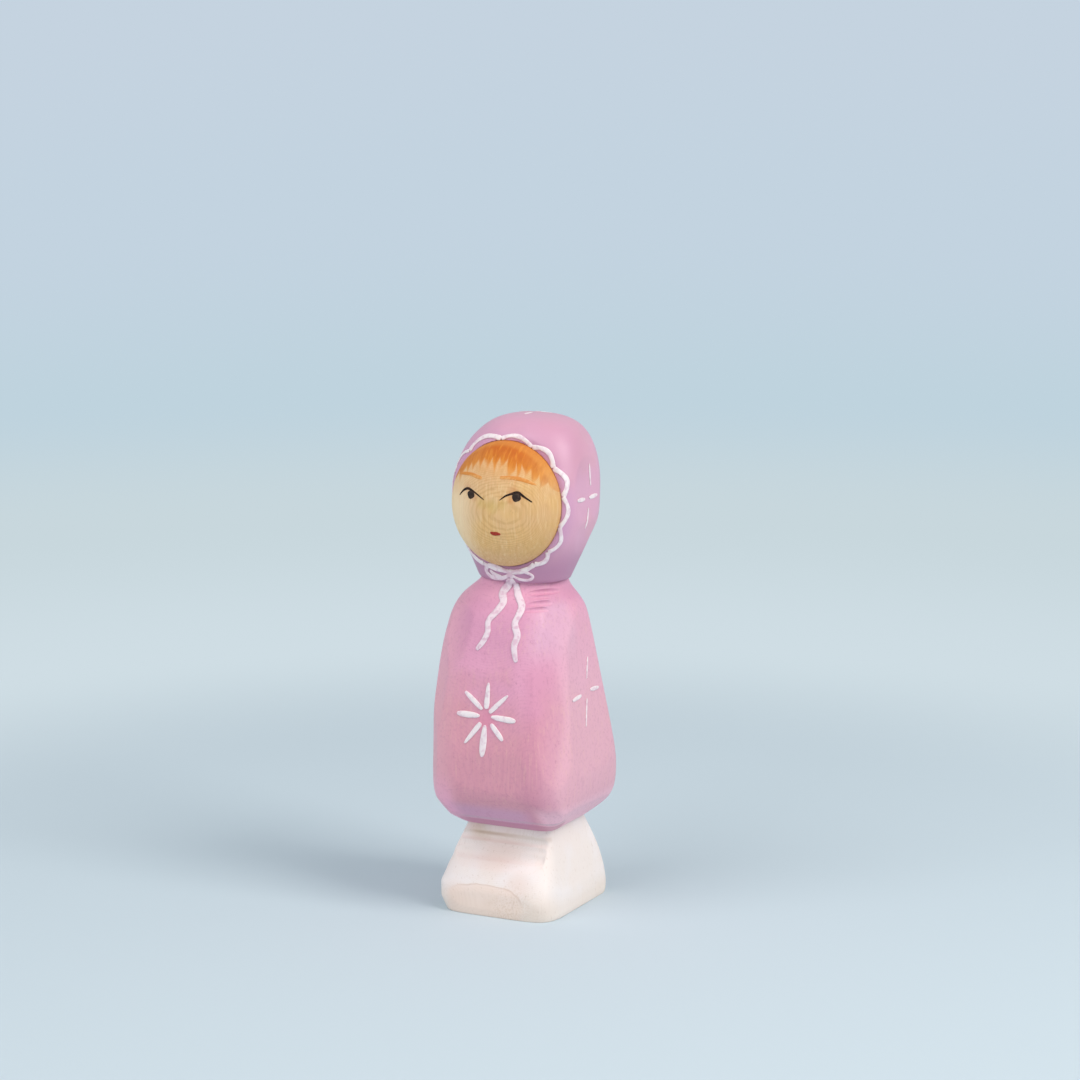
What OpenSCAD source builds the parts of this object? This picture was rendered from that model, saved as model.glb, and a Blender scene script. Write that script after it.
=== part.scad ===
// Hand-carved wooden child figure in a hooded dress, standing on a whitewashed foot block.
// Millimetres. The figure faces -Y, its left side is +X, and the origin lies under it on the ground.

/* [Foot block] */
// Height of the whitewashed block, from the ground to the hem
foot_h = 16.1; // [12:0.1:22]
// Greatest width of the block, just above the ground
foot_w = 22.6; // [20:0.1:32]
// Depth from the figure's axis forward to the toe
foot_front = 11.5; // [9:0.1:15]
// Depth from the figure's axis back to the heel
foot_back = 14.2; // [9:0.1:16]

/* [Dress] */
// Height of the dress, from the hem to the neck
dress_h = 44.6; // [36:0.1:56]
// Greatest width of the dress
dress_w = 28.4; // [24:0.1:34]
// Depth from the axis forward to the belly
dress_front = 15.1; // [12:0.1:19]
// Depth from the axis back to the seat
dress_back = 15; // [12:0.1:19]

/* [Hood] */
// Height of the hood, from the neck to the crown
hood_h = 29.3; // [25:0.1:36]
// Greatest width of the hood
hood_w = 25.6; // [24:0.1:31]
// Depth from the axis forward to the hood's brow
hood_front = 10.3; // [9.2:0.1:13]
// Depth from the axis back to the nape
hood_back = 11.5; // [9:0.1:15]

/* [Face] */
// Width of the bare wooden face
face_w = 21; // [17:0.1:22]
// Height of the face
face_h = 22.4; // [18:0.1:23.4]
// Height of the middle of the face above the neck
face_up = 14.3; // [13.2:0.1:15.6]
// Depth of the plane of the face's edge in front of the axis
face_plane = 7.35; // [6.4:0.05:8]
// How far the face swells out of that plane
face_dome = 5.2; // [3:0.1:7]
// How far the face is set into the hood
face_seat = 2.2; // [1.4:0.1:3]
// Backward lean of the face, in degrees
face_tilt = 2.6; // [0:0.1:5]
// Width of the seam between face and hood
face_seam = 0.05; // [0.02:0.01:0.15]

/* [Brushwork] */
// Height of the thick white brush marks
white_thick = 0.2; // [0.1:0.01:0.35]
// Height of the thin marks on the face
ink_thick = 0.12; // [0.08:0.01:0.2]
// Clearance between a mark and the wood it lies on
paint_gap = 0.03; // [0.02:0.005:0.05]
// Width of the lace line round the face
lace_w = 0.6; // [0.4:0.05:0.8]
// Height of a scallop of the lace
scallop_h = 0.8; // [0.4:0.05:1]
// Clear space between the face and the lace
lace_gap = 0.12; // [0.1:0.02:0.3]
// Number of scallops in a whole turn round the face
scallops = 13; // [9:1:17]
// Width of the bow from loop end to loop end
bow_w = 8.8; // [7:0.1:10]
// Height of a loop of the bow
bow_h = 1.7; // [1.3:0.1:1.9]
// Width of the brush line of the bow
bow_line = 0.5; // [0.3:0.05:0.6]
// Clear height between the chin and the bow
bow_gap = 0.3; // [0.2:0.05:0.6]
// Clear height between the bow and its tails
tail_gap = 0.85; // [0.3:0.05:1.2]
// Length of the ribbon tails that hang from the bow
tail_h = 12.8; // [9:0.1:16]
// Width of a ribbon tail
tail_w = 1.1; // [0.6:0.05:1.3]
// Size across the eight-petalled flower
flower_size = 12.8; // [9:0.1:15]
// Width of a petal
petal_w = 1.35; // [0.7:0.05:1.6]
// Height of the middle of the flower above the hem
flower_up = 21.2; // [17:0.1:25]
// Height of the star on each side of the dress
dress_star = 11.8; // [8:0.1:14]
// Height of the star on each side of the hood
hood_star = 11.4; // [8:0.1:13]
// Size across the star on the crown
crown_star_size = 6.6; // [4:0.1:7]
// Width of a star's fine stroke
star_line = 0.34; // [0.2:0.02:0.5]
// Width of a star's short dash
dash_w = 0.75; // [0.5:0.05:1]
// Width of an eye, from corner to corner
eye_w = 5.6; // [4.4:0.1:6.4]
// Thickness of the line of an eyelid
lid_line = 0.34; // [0.2:0.02:0.45]
// Width of a pupil
pupil_w = 0.95; // [0.7:0.05:1.2]
// Width of an eyebrow
brow_w = 5.6; // [4.4:0.1:6.2]
// Thickness of an eyebrow
brow_line = 0.4; // [0.25:0.01:0.55]
// Height from an eyebrow's middle up to the tips of the fringe
brow_drop = 0.77; // [0.6:0.01:1.1]
// Width of the mouth
mouth_w = 2; // [1.4:0.1:3]
// Thickness of the lips
mouth_line = 0.6; // [0.4:0.05:0.8]
// Length of the painted fringe, from the face's top edge
fringe_h = 4.6; // [3.2:0.1:5]

/* [Hidden] */

neck_z = foot_h + dress_h;
face_z = neck_z + face_up;
ring_sides = 80;
row_steps = 2;
oval_sides = 64;
dome_steps = 10;
left = 1;
right = -1;

// Each row: height, half width, front depth and back depth as shares of the block's own
// sizes, then the squareness of the outline, its sideways lean and its backward shift.
foot_shares = [
    [0.00, 0.955, 0.970, 0.985, 5.5, -0.095, 0],
    [0.09, 0.995, 0.995, 1.000, 6.0, -0.105, 0],
    [0.22, 1.000, 1.000, 0.990, 6.5, -0.105, 0],
    [0.41, 0.950, 0.925, 0.945, 6.0, -0.070, 0],
    [0.59, 0.870, 0.815, 0.870, 6.0, -0.035, 0],
    [0.78, 0.800, 0.690, 0.735, 6.0, -0.005, 0],
    [0.94, 0.760, 0.610, 0.600, 6.0, 0.020, 0],
    [1.00, 0.750, 0.605, 0.575, 6.0, 0.025, 0]
];
dress_shares = [
    [0.000, 0.635, 0.535, 0.520, 8.0, 0.010, 0],
    [0.020, 0.715, 0.620, 0.640, 8.0, 0.000, 0],
    [0.040, 0.800, 0.700, 0.740, 8.0, 0.000, 0],
    [0.070, 0.885, 0.815, 0.860, 6.5, 0.005, 0],
    [0.120, 0.960, 0.920, 0.960, 4.8, 0.005, 0],
    [0.180, 0.995, 0.985, 1.000, 4.2, 0.000, 0],
    [0.290, 1.000, 1.000, 0.975, 4.0, 0.000, 0],
    [0.450, 0.980, 0.945, 0.900, 3.8, -0.035, 0],
    [0.590, 0.935, 0.880, 0.830, 3.6, -0.055, 0],
    [0.745, 0.880, 0.785, 0.740, 3.3, -0.065, 0],
    [0.810, 0.850, 0.720, 0.685, 3.1, -0.065, 0],
    [0.880, 0.795, 0.640, 0.630, 2.9, -0.065, 0],
    [0.925, 0.715, 0.545, 0.575, 2.7, -0.065, 0],
    [0.960, 0.615, 0.480, 0.525, 2.5, -0.045, 0],
    [0.985, 0.555, 0.435, 0.485, 2.3, -0.010, 0],
    [1.000, 0.540, 0.425, 0.475, 2.2, 0.010, 0]
];
hood_shares = [
    [0.000, 0.648, 0.700, 0.695, 2.2, 0.020, 0.000],
    [0.025, 0.664, 0.712, 0.718, 2.2, 0.020, 0.000],
    [0.075, 0.704, 0.745, 0.768, 2.3, 0.030, 0.000],
    [0.125, 0.755, 0.795, 0.825, 2.3, 0.035, 0.000],
    [0.195, 0.835, 0.865, 0.895, 2.4, 0.035, 0.000],
    [0.300, 0.920, 0.930, 0.955, 2.6, 0.030, 0.000],
    [0.400, 0.975, 0.980, 0.990, 2.7, 0.020, 0.000],
    [0.505, 0.995, 0.990, 1.000, 2.7, 0.010, 0.010],
    [0.610, 0.990, 0.960, 1.000, 2.7, 0.010, 0.025],
    [0.710, 0.955, 0.890, 0.980, 2.6, 0.020, 0.045],
    [0.815, 0.865, 0.825, 0.910, 2.5, 0.040, 0.070],
    [0.900, 0.730, 0.725, 0.790, 2.4, 0.065, 0.090],
    [0.945, 0.610, 0.630, 0.675, 2.3, 0.075, 0.100],
    [0.972, 0.490, 0.500, 0.550, 2.3, 0.070, 0.105],
    [0.986, 0.385, 0.395, 0.440, 2.2, 0.065, 0.105],
    [0.995, 0.255, 0.265, 0.300, 2.1, 0.060, 0.105],
    [0.999, 0.120, 0.125, 0.140, 2.0, 0.055, 0.105],
    [1.000, 0.020, 0.020, 0.025, 2.0, 0.055, 0.105]
];

// How much squarer the foot block's outline is behind than in front
heel_square_share = 2.2;
// A block: base height, height, half width, front depth, back depth, shape, squareness behind.
foot_zone = [0, foot_h, foot_w / 2, foot_front, foot_back, foot_shares,
             heel_square_share];
dress_zone = [foot_h, dress_h, dress_w / 2, dress_front, dress_back, dress_shares, 1];
hood_zone = [neck_z, hood_h, hood_w / 2, hood_front, hood_back, hood_shares, 1];

// Brush widths along a mark, as shares of its greatest width.
petal_width_shares = [0.2, 0.7, 0.95, 1, 0.85, 0.3];
fine_width_shares = [0.5, 1, 1, 0.5];
dash_width_shares = [0.45, 1, 1, 0.5];
blob_width_shares = [0.35, 0.85, 1, 0.85, 0.35];
line_width_shares = [0.3, 1, 1, 0.9, 0.3];
even_width_shares = [1, 1];
// A mark's mound: how wide and how high its shoulders are, as shares of the whole
shoulder_w_share = 0.6;
shoulder_h_share = 0.75;
// Petal lengths, from the top one clockwise, as shares of the flower's radius.
petal_length_shares = [0.98, 0.95, 0.92, 0.85, 1.1, 1, 0.91, 0.97];
petal_start_share = 0.18;
diagonal_width_share = 0.78;
flower_aside_share = -0.03;
// Ribbon tails: sideways and downward, as shares of the tails' length.
right_tail_shares = [[0.02, 0], [-0.05, 0.14], [0, 0.24], [-0.07, 0.38], [-0.16, 0.49],
                     [-0.13, 0.63], [-0.2, 0.77], [-0.29, 0.89]];
left_tail_shares = [[0.11, 0], [0.19, 0.16], [0.3, 0.27], [0.27, 0.39], [0.27, 0.5],
                    [0.32, 0.65], [0.28, 0.8], [0.35, 1]];
// One loop of the bow: outward and upward, as shares of its length and height.
loop_shares = [[0, 0.1], [0.3, 0.5], [0.72, 0.62], [1, 0.15], [0.85, -0.38],
               [0.45, -0.35], [0.14, -0.18]];
loop_top_share = max([for (p = loop_shares) p[1]]);
loop_low_share = min([for (p = loop_shares) p[1]]);
loop_start_share = 0.125;
bow_aside_share = 0.06;
bow_z = face_z - face_h / 2 - bow_gap - bow_line / 2 - loop_top_share * bow_h;
tail_z = bow_z + loop_low_share * bow_h - bow_line / 2 - tail_gap;
knot_w_share = 0.17;
knot_h_share = 0.62;
// Stars: ends of the four strokes, as shares of the star's height, aside and up.
dress_star_shares = [[[0.17, 0.5], [0.06, 0.17]], [[-0.04, -0.03], [-0.17, -0.5]],
                     [[-0.47, -0.04], [-0.17, -0.02]], [[0.14, -0.01], [0.4, 0]]];
hood_star_shares = [[[0.02, 0.5], [0.01, 0.2]], [[-0.02, -0.14], [-0.03, -0.5]],
                    [[-0.32, -0.02], [-0.12, 0]], [[0.08, 0.02], [0.31, 0.03]]];
crown_star_shares = [[[0, -0.5], [0, -0.14]], [[0, 0.14], [0, 0.5]],
                     [[-0.5, 0], [-0.16, 0]], [[0.16, 0], [0.5, 0]]];
dress_star_up_share = 0.55;
hood_star_up_share = 0.52;
crown_back_share = 0.28;
crown_from_share = 0.7;
search_turns = 18;
// The eyelid's arch and the eyebrow's, as shares of their own width, outward and up.
lid_shares = [[-0.5, -0.13], [-0.26, 0.06], [0.02, 0.12], [0.24, 0.08], [0.5, -0.13]];
brow_shares = [[-0.5, -0.03], [-0.18, 0.05], [0.16, 0.02], [0.5, -0.09]];
eye_out_share = 0.41;
eye_up_share = 0.205;
pupil_drop_share = 0.14;
pupil_h_share = 1.35;
brow_out_share = 0.44;
mouth_up_share = -0.42;
mouth_aside_share = 0.04;
fringe_strands = 15;
fringe_reach = 76;
fringe_edge_share = 0.97;
fringe_dense_share = 0.6;
fringe_side_share = 0.05;
fringe_lean_share = 0.3;
// Lace ends on each side of the bow, in degrees from the top of the face.
lace_reach = 156;
lace_steps = 6;
cross_steps = 9;
nudge = 0.01 * lace_w;

// Smooth look-up in a table of shares
function rise(rows, i, k) =
    let (last = len(rows) - 1,
         a = max(i - 1, 0),
         c = min(i + 1, last),
         h0 = rows[i][0] - rows[a][0],
         h1 = rows[c][0] - rows[i][0],
         s0 = i == 0 ? 0 : (rows[i][k] - rows[a][k]) / h0,
         s1 = i == last ? 0 : (rows[c][k] - rows[i][k]) / h1)
    (s0 * h1 + s1 * h0) / (h0 + h1) + (i == 0 ? s1 : i == last ? s0 : 0);

function step_of(rows, t) = max([0, for (i = [0 : len(rows) - 2]) if (t >= rows[i][0]) i]);

function smooth(rows, t, k) =
    let (i = step_of(rows, t),
         h = rows[i + 1][0] - rows[i][0],
         u = (t - rows[i][0]) / h)
    (2 * u ^ 3 - 3 * u ^ 2 + 1) * rows[i][k]
    + (u ^ 3 - 2 * u ^ 2 + u) * h * rise(rows, i, k)
    + (3 * u ^ 2 - 2 * u ^ 3) * rows[i + 1][k]
    + (u ^ 3 - u ^ 2) * h * rise(rows, i + 1, k);

// A block's outline at a share of its height: half width, front, back, squareness, lean, shift
function outline(zone, t) = let (rows = zone[5]) [
    zone[2] * smooth(rows, t, 1),
    zone[3] * smooth(rows, t, 2),
    zone[4] * smooth(rows, t, 3),
    smooth(rows, t, 4),
    zone[2] * smooth(rows, t, 5),
    zone[4] * smooth(rows, t, 6)
];

function bent(v, power) = sign(v) * abs(v) ^ power;

function ring(zone, t) =
    let (o = outline(zone, t))
    [for (i = [0 : ring_sides - 1])
        let (a = 360 * i / ring_sides,
             square = o[3] * (sin(a) < 0 ? 1 : zone[6])) [
        o[4] + o[0] * bent(cos(a), 2 / square),
        o[5] + (sin(a) < 0 ? o[1] : o[2]) * bent(sin(a), 2 / square),
        zone[0] + zone[1] * t
    ]];

function row_heights(rows) = [
    for (i = [0 : len(rows) - 2])
        for (j = [0 : row_steps - 1])
            rows[i][0] + (rows[i + 1][0] - rows[i][0]) * j / row_steps,
    1
];

// Places on the surface: seen from the front, from a side and from above
function share_of(zone, z) = min(max((z - zone[0]) / zone[1], 0), 1);

function front_place(zone, x, z) =
    let (o = outline(zone, share_of(zone, z)),
         across = min(abs((x - o[4]) / o[0]), 0.999))
    [x, o[5] - o[1] * (1 - across ^ o[3]) ^ (1 / o[3]), z];

// About the neck a mark lies on whichever stands further forward, the hood or the dress
function neck_place(x, z) =
    let (above = front_place(hood_zone, x, z),
         below = front_place(dress_zone, x, z))
    above[1] < below[1] ? above : below;

function side_place(zone, side, y, z) =
    let (o = outline(zone, share_of(zone, z)),
         deep = y < o[5] ? o[1] : o[2],
         along = min(abs((y - o[5]) / deep), 0.999))
    [o[4] + side * o[0] * (1 - along ^ o[3]) ^ (1 / o[3]), y, z];

function inside(zone, x, y, t) =
    let (o = outline(zone, t))
    abs((x - o[4]) / o[0]) ^ o[3] + abs((y - o[5]) / (y < o[5] ? o[1] : o[2])) ^ o[3] < 1;

function crown_share(zone, x, y, low, high, turns) =
    let (mid = (low + high) / 2)
    turns == 0 ? mid
    : inside(zone, x, y, mid) ? crown_share(zone, x, y, mid, high, turns - 1)
    : crown_share(zone, x, y, low, mid, turns - 1);

function crown_place(zone, x, y) =
    [x, y, zone[0] + zone[1] * crown_share(zone, x, y, crown_from_share, 1, search_turns)];

// A place on the dome of the face, from its middle sideways and up
function dome_height(u, v) =
    face_dome * sqrt(max(1 - (2 * u / face_w) ^ 2 - (2 * v / face_h) ^ 2, 0));

function face_place(u, v) =
    let (h = dome_height(u, v))
    [u, -face_plane - h * cos(face_tilt) + v * sin(face_tilt),
     face_z + v * cos(face_tilt) + h * sin(face_tilt)];

// The painted fringe's upper edge and the length of its strands, by the turn from the top
function fringe_edge(turn) =
    fringe_edge_share * [face_w / 2 * sin(turn), face_h / 2 * cos(turn)];

function fringe_length(turn) =
    fringe_h * (fringe_side_share + (1 - fringe_side_share) * cos(turn) ^ 2);

function unit(v) = v / norm(v);

function outward(place, a, b) =
    let (here = place(a, b))
    unit(cross(place(a + nudge, b) - here, place(a, b + nudge) - here));

// A smooth curve through hand-placed points
function curve_point(p, i, u, closed) =
    let (n = len(p),
         q = [for (k = [-1 : 2]) closed ? p[(i + k + n) % n] : p[min(max(i + k, 0), n - 1)]])
    0.5 * (2 * q[1] + (q[2] - q[0]) * u + (2 * q[0] - 5 * q[1] + 4 * q[2] - q[3]) * u ^ 2
           + (3 * q[1] - q[0] - 3 * q[2] + q[3]) * u ^ 3);

function curve(p, steps, closed = false) =
    let (n = len(p) - (closed ? 0 : 1))
    [for (i = [0 : n - 1]) for (j = [0 : steps - 1]) curve_point(p, i, j / steps, closed),
     if (!closed) p[n]];

// A line between two places, with one point for each width share
function line(a, b, shares) =
    let (last = len(shares) - 1) [for (i = [0 : last]) a + (b - a) * i / last];

function width_at(shares, s) =
    let (at = s * (len(shares) - 1), i = min(floor(at), len(shares) - 2))
    shares[i] + (shares[i + 1] - shares[i]) * (at - i);

// A solid skin over a row of rings that all have the same number of points
module skin(rings, closed = false) {
    n = len(rings[0]);
    m = len(rings);
    spans = closed ? m : m - 1;
    walls = [for (i = [0 : spans - 1]) for (j = [0 : n - 1])
        let (a = i * n + j,
             b = (i + 1) % m * n + j,
             c = (i + 1) % m * n + (j + 1) % n,
             d = i * n + (j + 1) % n)
        each [[a, b, c], [a, c, d]]];
    far = m * n - 1;
    caps = closed ? []
        : [for (j = [1 : n - 2]) each [[0, j, j + 1], [far, far - j, far - j - 1]]];
    polyhedron([for (r = rings) for (p = r) p], concat(walls, caps));
}

// A brush mark: a low mound along a path, on the surface that place() gives
module mark(path, breadth, shares, thick, place, closed = false) {
    n = len(path);
    spots = [for (p = path) place(p[0], p[1])];
    skin([for (i = [0 : n - 1])
        let (up = outward(place, path[i][0], path[i][1]),
             before = spots[closed ? (i + n - 1) % n : max(i - 1, 0)],
             after = spots[closed ? (i + 1) % n : min(i + 1, n - 1)],
             half = breadth / 2 * (closed ? 1 : width_at(shares, i / (n - 1))),
             aside = half * unit(cross(up, after - before)),
             low = spots[i] + paint_gap * up)
        [low - aside, low + aside, low + shoulder_w_share * aside + shoulder_h_share * thick * up,
         low + thick * up, low - shoulder_w_share * aside + shoulder_h_share * thick * up]],
         closed);
}

module block(zone) {
    skin([for (t = row_heights(zone[5])) ring(zone, t)]);
}

function face_oval(extra) = [for (i = [0 : oval_sides - 1]) let (a = 360 * i / oval_sides)
    [-(face_w / 2 + extra) * sin(a), (face_h / 2 + extra) * cos(a)]];

module on_face() {
    translate([0, -face_plane, face_z])
        rotate([-face_tilt, 0, 0])
            children();
}

module foot_block() {
    color("linen") block(foot_zone);
}

module dress() {
    color("palevioletred") block(dress_zone);
}

module hood() {
    color("plum") difference() {
        block(hood_zone);
        on_face()
            translate([0, face_seat, 0])
                rotate([90, 0, 0])
                    linear_extrude(height = face_seat + hood_front)
                        polygon(face_oval(face_seam));
    }
}

module face() {
    oval = face_oval(0);
    color("burlywood") on_face() skin(concat(
        [[for (p = oval) [p[0], face_seat, p[1]]]],
        [for (i = [0 : dome_steps - 1]) let (a = 90 * i / dome_steps)
            [for (p = oval) [p[0] * cos(a), -face_dome * sin(a), p[1] * cos(a)]]]
    ));
}

// The lower edge of the fringe runs from the middle of the face's top out to its sides
module hair_fringe() {
    columns = 2 * fringe_strands;
    color("darkorange") skin([for (i = [0 : columns])
        let (a = fringe_reach * (2 * i / columns - 1),
             edge = fringe_edge(a),
             length = fringe_length(a) * (i % 2 == 0 ? fringe_dense_share : 1),
             tip = edge - length * [fringe_lean_share * sin(a), 1],
             spots = [for (j = [0 : cross_steps]) tip + (edge - tip) * j / cross_steps],
             ups = [for (s = spots) outward(face_place_of(), s[0], s[1])],
             low = [for (j = [0 : cross_steps])
                 face_place(spots[j][0], spots[j][1]) + paint_gap * ups[j]])
        concat([for (j = [0 : cross_steps]) low[cross_steps - j] + ink_thick * ups[cross_steps - j]],
               [for (j = [0 : cross_steps]) low[j]])]);
}

function face_place_of() = function (u, v) face_place(u, v);
function front_of(zone) = function (x, z) front_place(zone, x, z);
function neck_place_of() = function (x, z) neck_place(x, z);
function side_of(zone, side) = function (a, z) side_place(zone, side, side * a, z);
function crown_of(zone) = function (x, y) crown_place(zone, x, y);

module eyebrow(side) {
    turn = asin(brow_out_share / fringe_edge_share);
    middle = [side * fringe_edge(turn)[0], fringe_edge(turn)[1] - fringe_length(turn) - brow_drop];
    color("chocolate") mark(
        curve([for (p = brow_shares) middle + brow_w * [side * p[0], p[1]]], 2),
        brow_line, line_width_shares, ink_thick, face_place_of());
}

module left_eyebrow() {
    eyebrow(left);
}

module right_eyebrow() {
    eyebrow(right);
}

function eye_middle(side) = [side * eye_out_share * face_w / 2, eye_up_share * face_h / 2];

module eyelid(side) {
    color("black") mark(
        curve([for (p = lid_shares) eye_middle(side) + eye_w * [side * p[0], p[1]]], 3),
        lid_line, line_width_shares, ink_thick, face_place_of());
}

module left_eyelid() {
    eyelid(left);
}

module right_eyelid() {
    eyelid(right);
}

module pupil(side) {
    drop = [0, -pupil_drop_share * eye_w];
    reach = [0, pupil_h_share * pupil_w / 2];
    middle = eye_middle(side) + drop + [0, lid_line / 2];
    color("black") mark(line(middle - reach, middle + reach, blob_width_shares),
                        pupil_w, blob_width_shares, ink_thick, face_place_of());
}

module left_pupil() {
    pupil(left);
}

module right_pupil() {
    pupil(right);
}

module lips() {
    middle = [mouth_aside_share * face_w / 2, mouth_up_share * face_h / 2];
    reach = [mouth_w / 2, 0];
    color("firebrick") mark(line(middle - reach, middle + reach, blob_width_shares),
                            mouth_line, blob_width_shares, ink_thick, face_place_of());
}

// The lace is one line of scallops that starts and ends beside the bow
module lace_trim() {
    count = round(scallops * lace_steps * lace_reach / 180);
    inner = face_seam + lace_gap + lace_w / 2;
    path = [for (i = [0 : count])
        let (a = lace_reach * (2 * i / count - 1),
             out = inner + scallop_h * abs(sin(a * scallops / 2)))
        [(face_w / 2 + out) * sin(a), face_z + (face_h / 2 + out) * cos(a)]];
    color("white") mark(path, lace_w, even_width_shares, white_thick, front_of(hood_zone));
}

// Two open loops and a knot, under the chin
module chin_bow() {
    middle = [bow_aside_share * bow_w, bow_z];
    start = loop_start_share * bow_w;
    loop_w = bow_w / 2 - start;
    reach = [0, bow_h * knot_h_share / 2];
    color("white") {
        for (side = [left, right])
            mark(curve([for (p = loop_shares)
                     middle + [side * (start + p[0] * loop_w), bow_h * p[1]]], 3, true),
                 bow_line, even_width_shares, white_thick, neck_place_of(), true);
        mark(line(middle - reach, middle + reach, blob_width_shares),
             bow_w * knot_w_share, blob_width_shares, white_thick, neck_place_of());
    }
}

module ribbon_tail(shares) {
    top = [0, tail_z];
    color("white") mark(curve([for (p = shares) top + tail_h * [p[0], -p[1]]], 2),
                        tail_w, line_width_shares, white_thick, neck_place_of());
}

module left_ribbon_tail() {
    ribbon_tail(left_tail_shares);
}

module right_ribbon_tail() {
    ribbon_tail(right_tail_shares);
}

module front_flower() {
    middle = [flower_aside_share * flower_size, foot_h + flower_up];
    color("white") for (i = [0 : 7]) {
        toward = flower_size / 2 * [sin(45 * i), cos(45 * i)];
        breadth = petal_w * (i % 2 == 0 ? 1 : diagonal_width_share);
        mark(line(middle + petal_start_share * toward,
                  middle + petal_length_shares[i] * toward, petal_width_shares),
             breadth, petal_width_shares, white_thick, front_of(dress_zone));
    }
}

// Two fine upright strokes and two short dashes
module star(middle, size, shares, place) {
    color("white") for (i = [0 : 3]) {
        widths = i < 2 ? fine_width_shares : dash_width_shares;
        mark(line(middle + size * shares[i][0], middle + size * shares[i][1], widths),
             i < 2 ? star_line : dash_w, widths, white_thick, place);
    }
}

module dress_side_star(side) {
    star([0, foot_h + dress_star_up_share * dress_h], dress_star,
         dress_star_shares, side_of(dress_zone, side));
}

module left_dress_star() {
    dress_side_star(left);
}

module right_dress_star() {
    dress_side_star(right);
}

module hood_side_star(side) {
    star([0, neck_z + hood_star_up_share * hood_h], hood_star,
         hood_star_shares, side_of(hood_zone, side));
}

module left_hood_star() {
    hood_side_star(left);
}

module right_hood_star() {
    hood_side_star(right);
}

module crown_star() {
    star([0, crown_back_share * hood_back], crown_star_size,
         crown_star_shares, crown_of(hood_zone));
}

foot_block();
dress();
hood();
face();
hair_fringe();
left_eyebrow();
right_eyebrow();
left_eyelid();
right_eyelid();
left_pupil();
right_pupil();
lips();
lace_trim();
chin_bow();
left_ribbon_tail();
right_ribbon_tail();
front_flower();
left_dress_star();
right_dress_star();
left_hood_star();
right_hood_star();
crown_star();
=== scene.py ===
"""A child figure carved by hand from one block of maple, stained, and painted with a fine brush.

Everything is in metres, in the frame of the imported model: the figure faces -Y, its left is +X.
Sizes and places written in millimetres are multiplied by MM where they are used.
"""

from math import cos, pi, radians, sin, tan

import bmesh
import bpy
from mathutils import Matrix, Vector


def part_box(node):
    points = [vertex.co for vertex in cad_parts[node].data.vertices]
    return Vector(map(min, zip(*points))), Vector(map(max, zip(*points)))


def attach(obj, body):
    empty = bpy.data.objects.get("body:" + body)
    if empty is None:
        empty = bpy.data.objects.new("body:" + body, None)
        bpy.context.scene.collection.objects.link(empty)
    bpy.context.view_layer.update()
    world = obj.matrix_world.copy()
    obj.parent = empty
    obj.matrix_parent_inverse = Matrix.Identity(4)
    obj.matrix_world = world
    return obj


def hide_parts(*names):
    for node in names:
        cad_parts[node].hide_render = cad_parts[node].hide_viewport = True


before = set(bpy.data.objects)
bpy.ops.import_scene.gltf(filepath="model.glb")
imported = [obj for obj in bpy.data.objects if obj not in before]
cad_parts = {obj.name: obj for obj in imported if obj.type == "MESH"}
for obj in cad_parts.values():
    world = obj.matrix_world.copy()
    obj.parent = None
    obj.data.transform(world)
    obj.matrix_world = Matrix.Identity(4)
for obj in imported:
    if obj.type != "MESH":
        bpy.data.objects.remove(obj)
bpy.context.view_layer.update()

MM = 0.001
# How near two points are one, and how near a cut leaves two apart, in metres
TOUCHING = 0.002 * MM
CUT_NEAR = TOUCHING / 20
# Past every piece of the figure, in mm, for the start of a line of sight
OUTSIDE = 60


def middle_of(node):
    """The middle of a CAD node's box, in mm."""
    low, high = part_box(node)
    return (low + high) / 2 / MM


def top_of(node):
    """The height of a CAD node's top, in mm."""
    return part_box(node)[1].z / MM


HEM = top_of("foot_block")
NECK = top_of("dress")
CROWN = top_of("hood")
FACE = middle_of("face")
FACE_HALF = (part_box("face")[1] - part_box("face")[0]) / 2 / MM
FLOWER = middle_of("front_flower")


# The knife, the gouge and the sanding

def deselect():
    bpy.ops.object.select_all(action="DESELECT")


def pick(piece):
    """Makes a piece the only one selected."""
    deselect()
    piece.select_set(True)
    bpy.context.view_layer.objects.active = piece


def edit(piece):
    """Opens a piece in edit mode with all of it selected."""
    pick(piece)
    bpy.ops.object.mode_set(mode="EDIT")
    bpy.ops.mesh.select_mode(type="VERT")
    bpy.ops.mesh.select_all(action="SELECT")


def leave_edit():
    bpy.ops.object.mode_set(mode="OBJECT")


def select_points(piece, wanted):
    """In edit mode, selects the points of a piece whose place passes a test."""
    bpy.ops.mesh.select_all(action="DESELECT")
    mesh = bmesh.from_edit_mesh(piece.data)
    for point in mesh.verts:
        point.select_set(wanted(point.co))
    mesh.select_flush(True)
    bmesh.update_edit_mesh(piece.data)


def finish_with(piece, kind, **settings):
    """Gives a piece a modifier and applies it."""
    pick(piece)
    modifier = piece.modifiers.new(kind.lower(), kind)
    for name, value in settings.items():
        setattr(modifier, name, value)
    bpy.ops.object.modifier_apply(modifier=modifier.name)


def wood_blank(name, node):
    """A block in the shape of a CAD node, with its triangles joined, ready for the knife."""
    piece = bpy.data.objects.new(name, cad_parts[node].data.copy())
    bpy.context.scene.collection.objects.link(piece)
    piece.data.materials.clear()
    edit(piece)
    bpy.ops.mesh.remove_doubles(threshold=TOUCHING)
    bpy.ops.mesh.customdata_custom_splitnormals_clear()
    leave_edit()
    return piece


def raise_top(piece, top, by):
    """Lets a block's flat top reach by mm into the block above, so that no seam gapes."""
    edit(piece)
    select_points(piece, lambda co: co.z > top * MM - TOUCHING)
    bpy.ops.transform.translate(value=(0, 0, by * MM))
    leave_edit()


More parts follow.
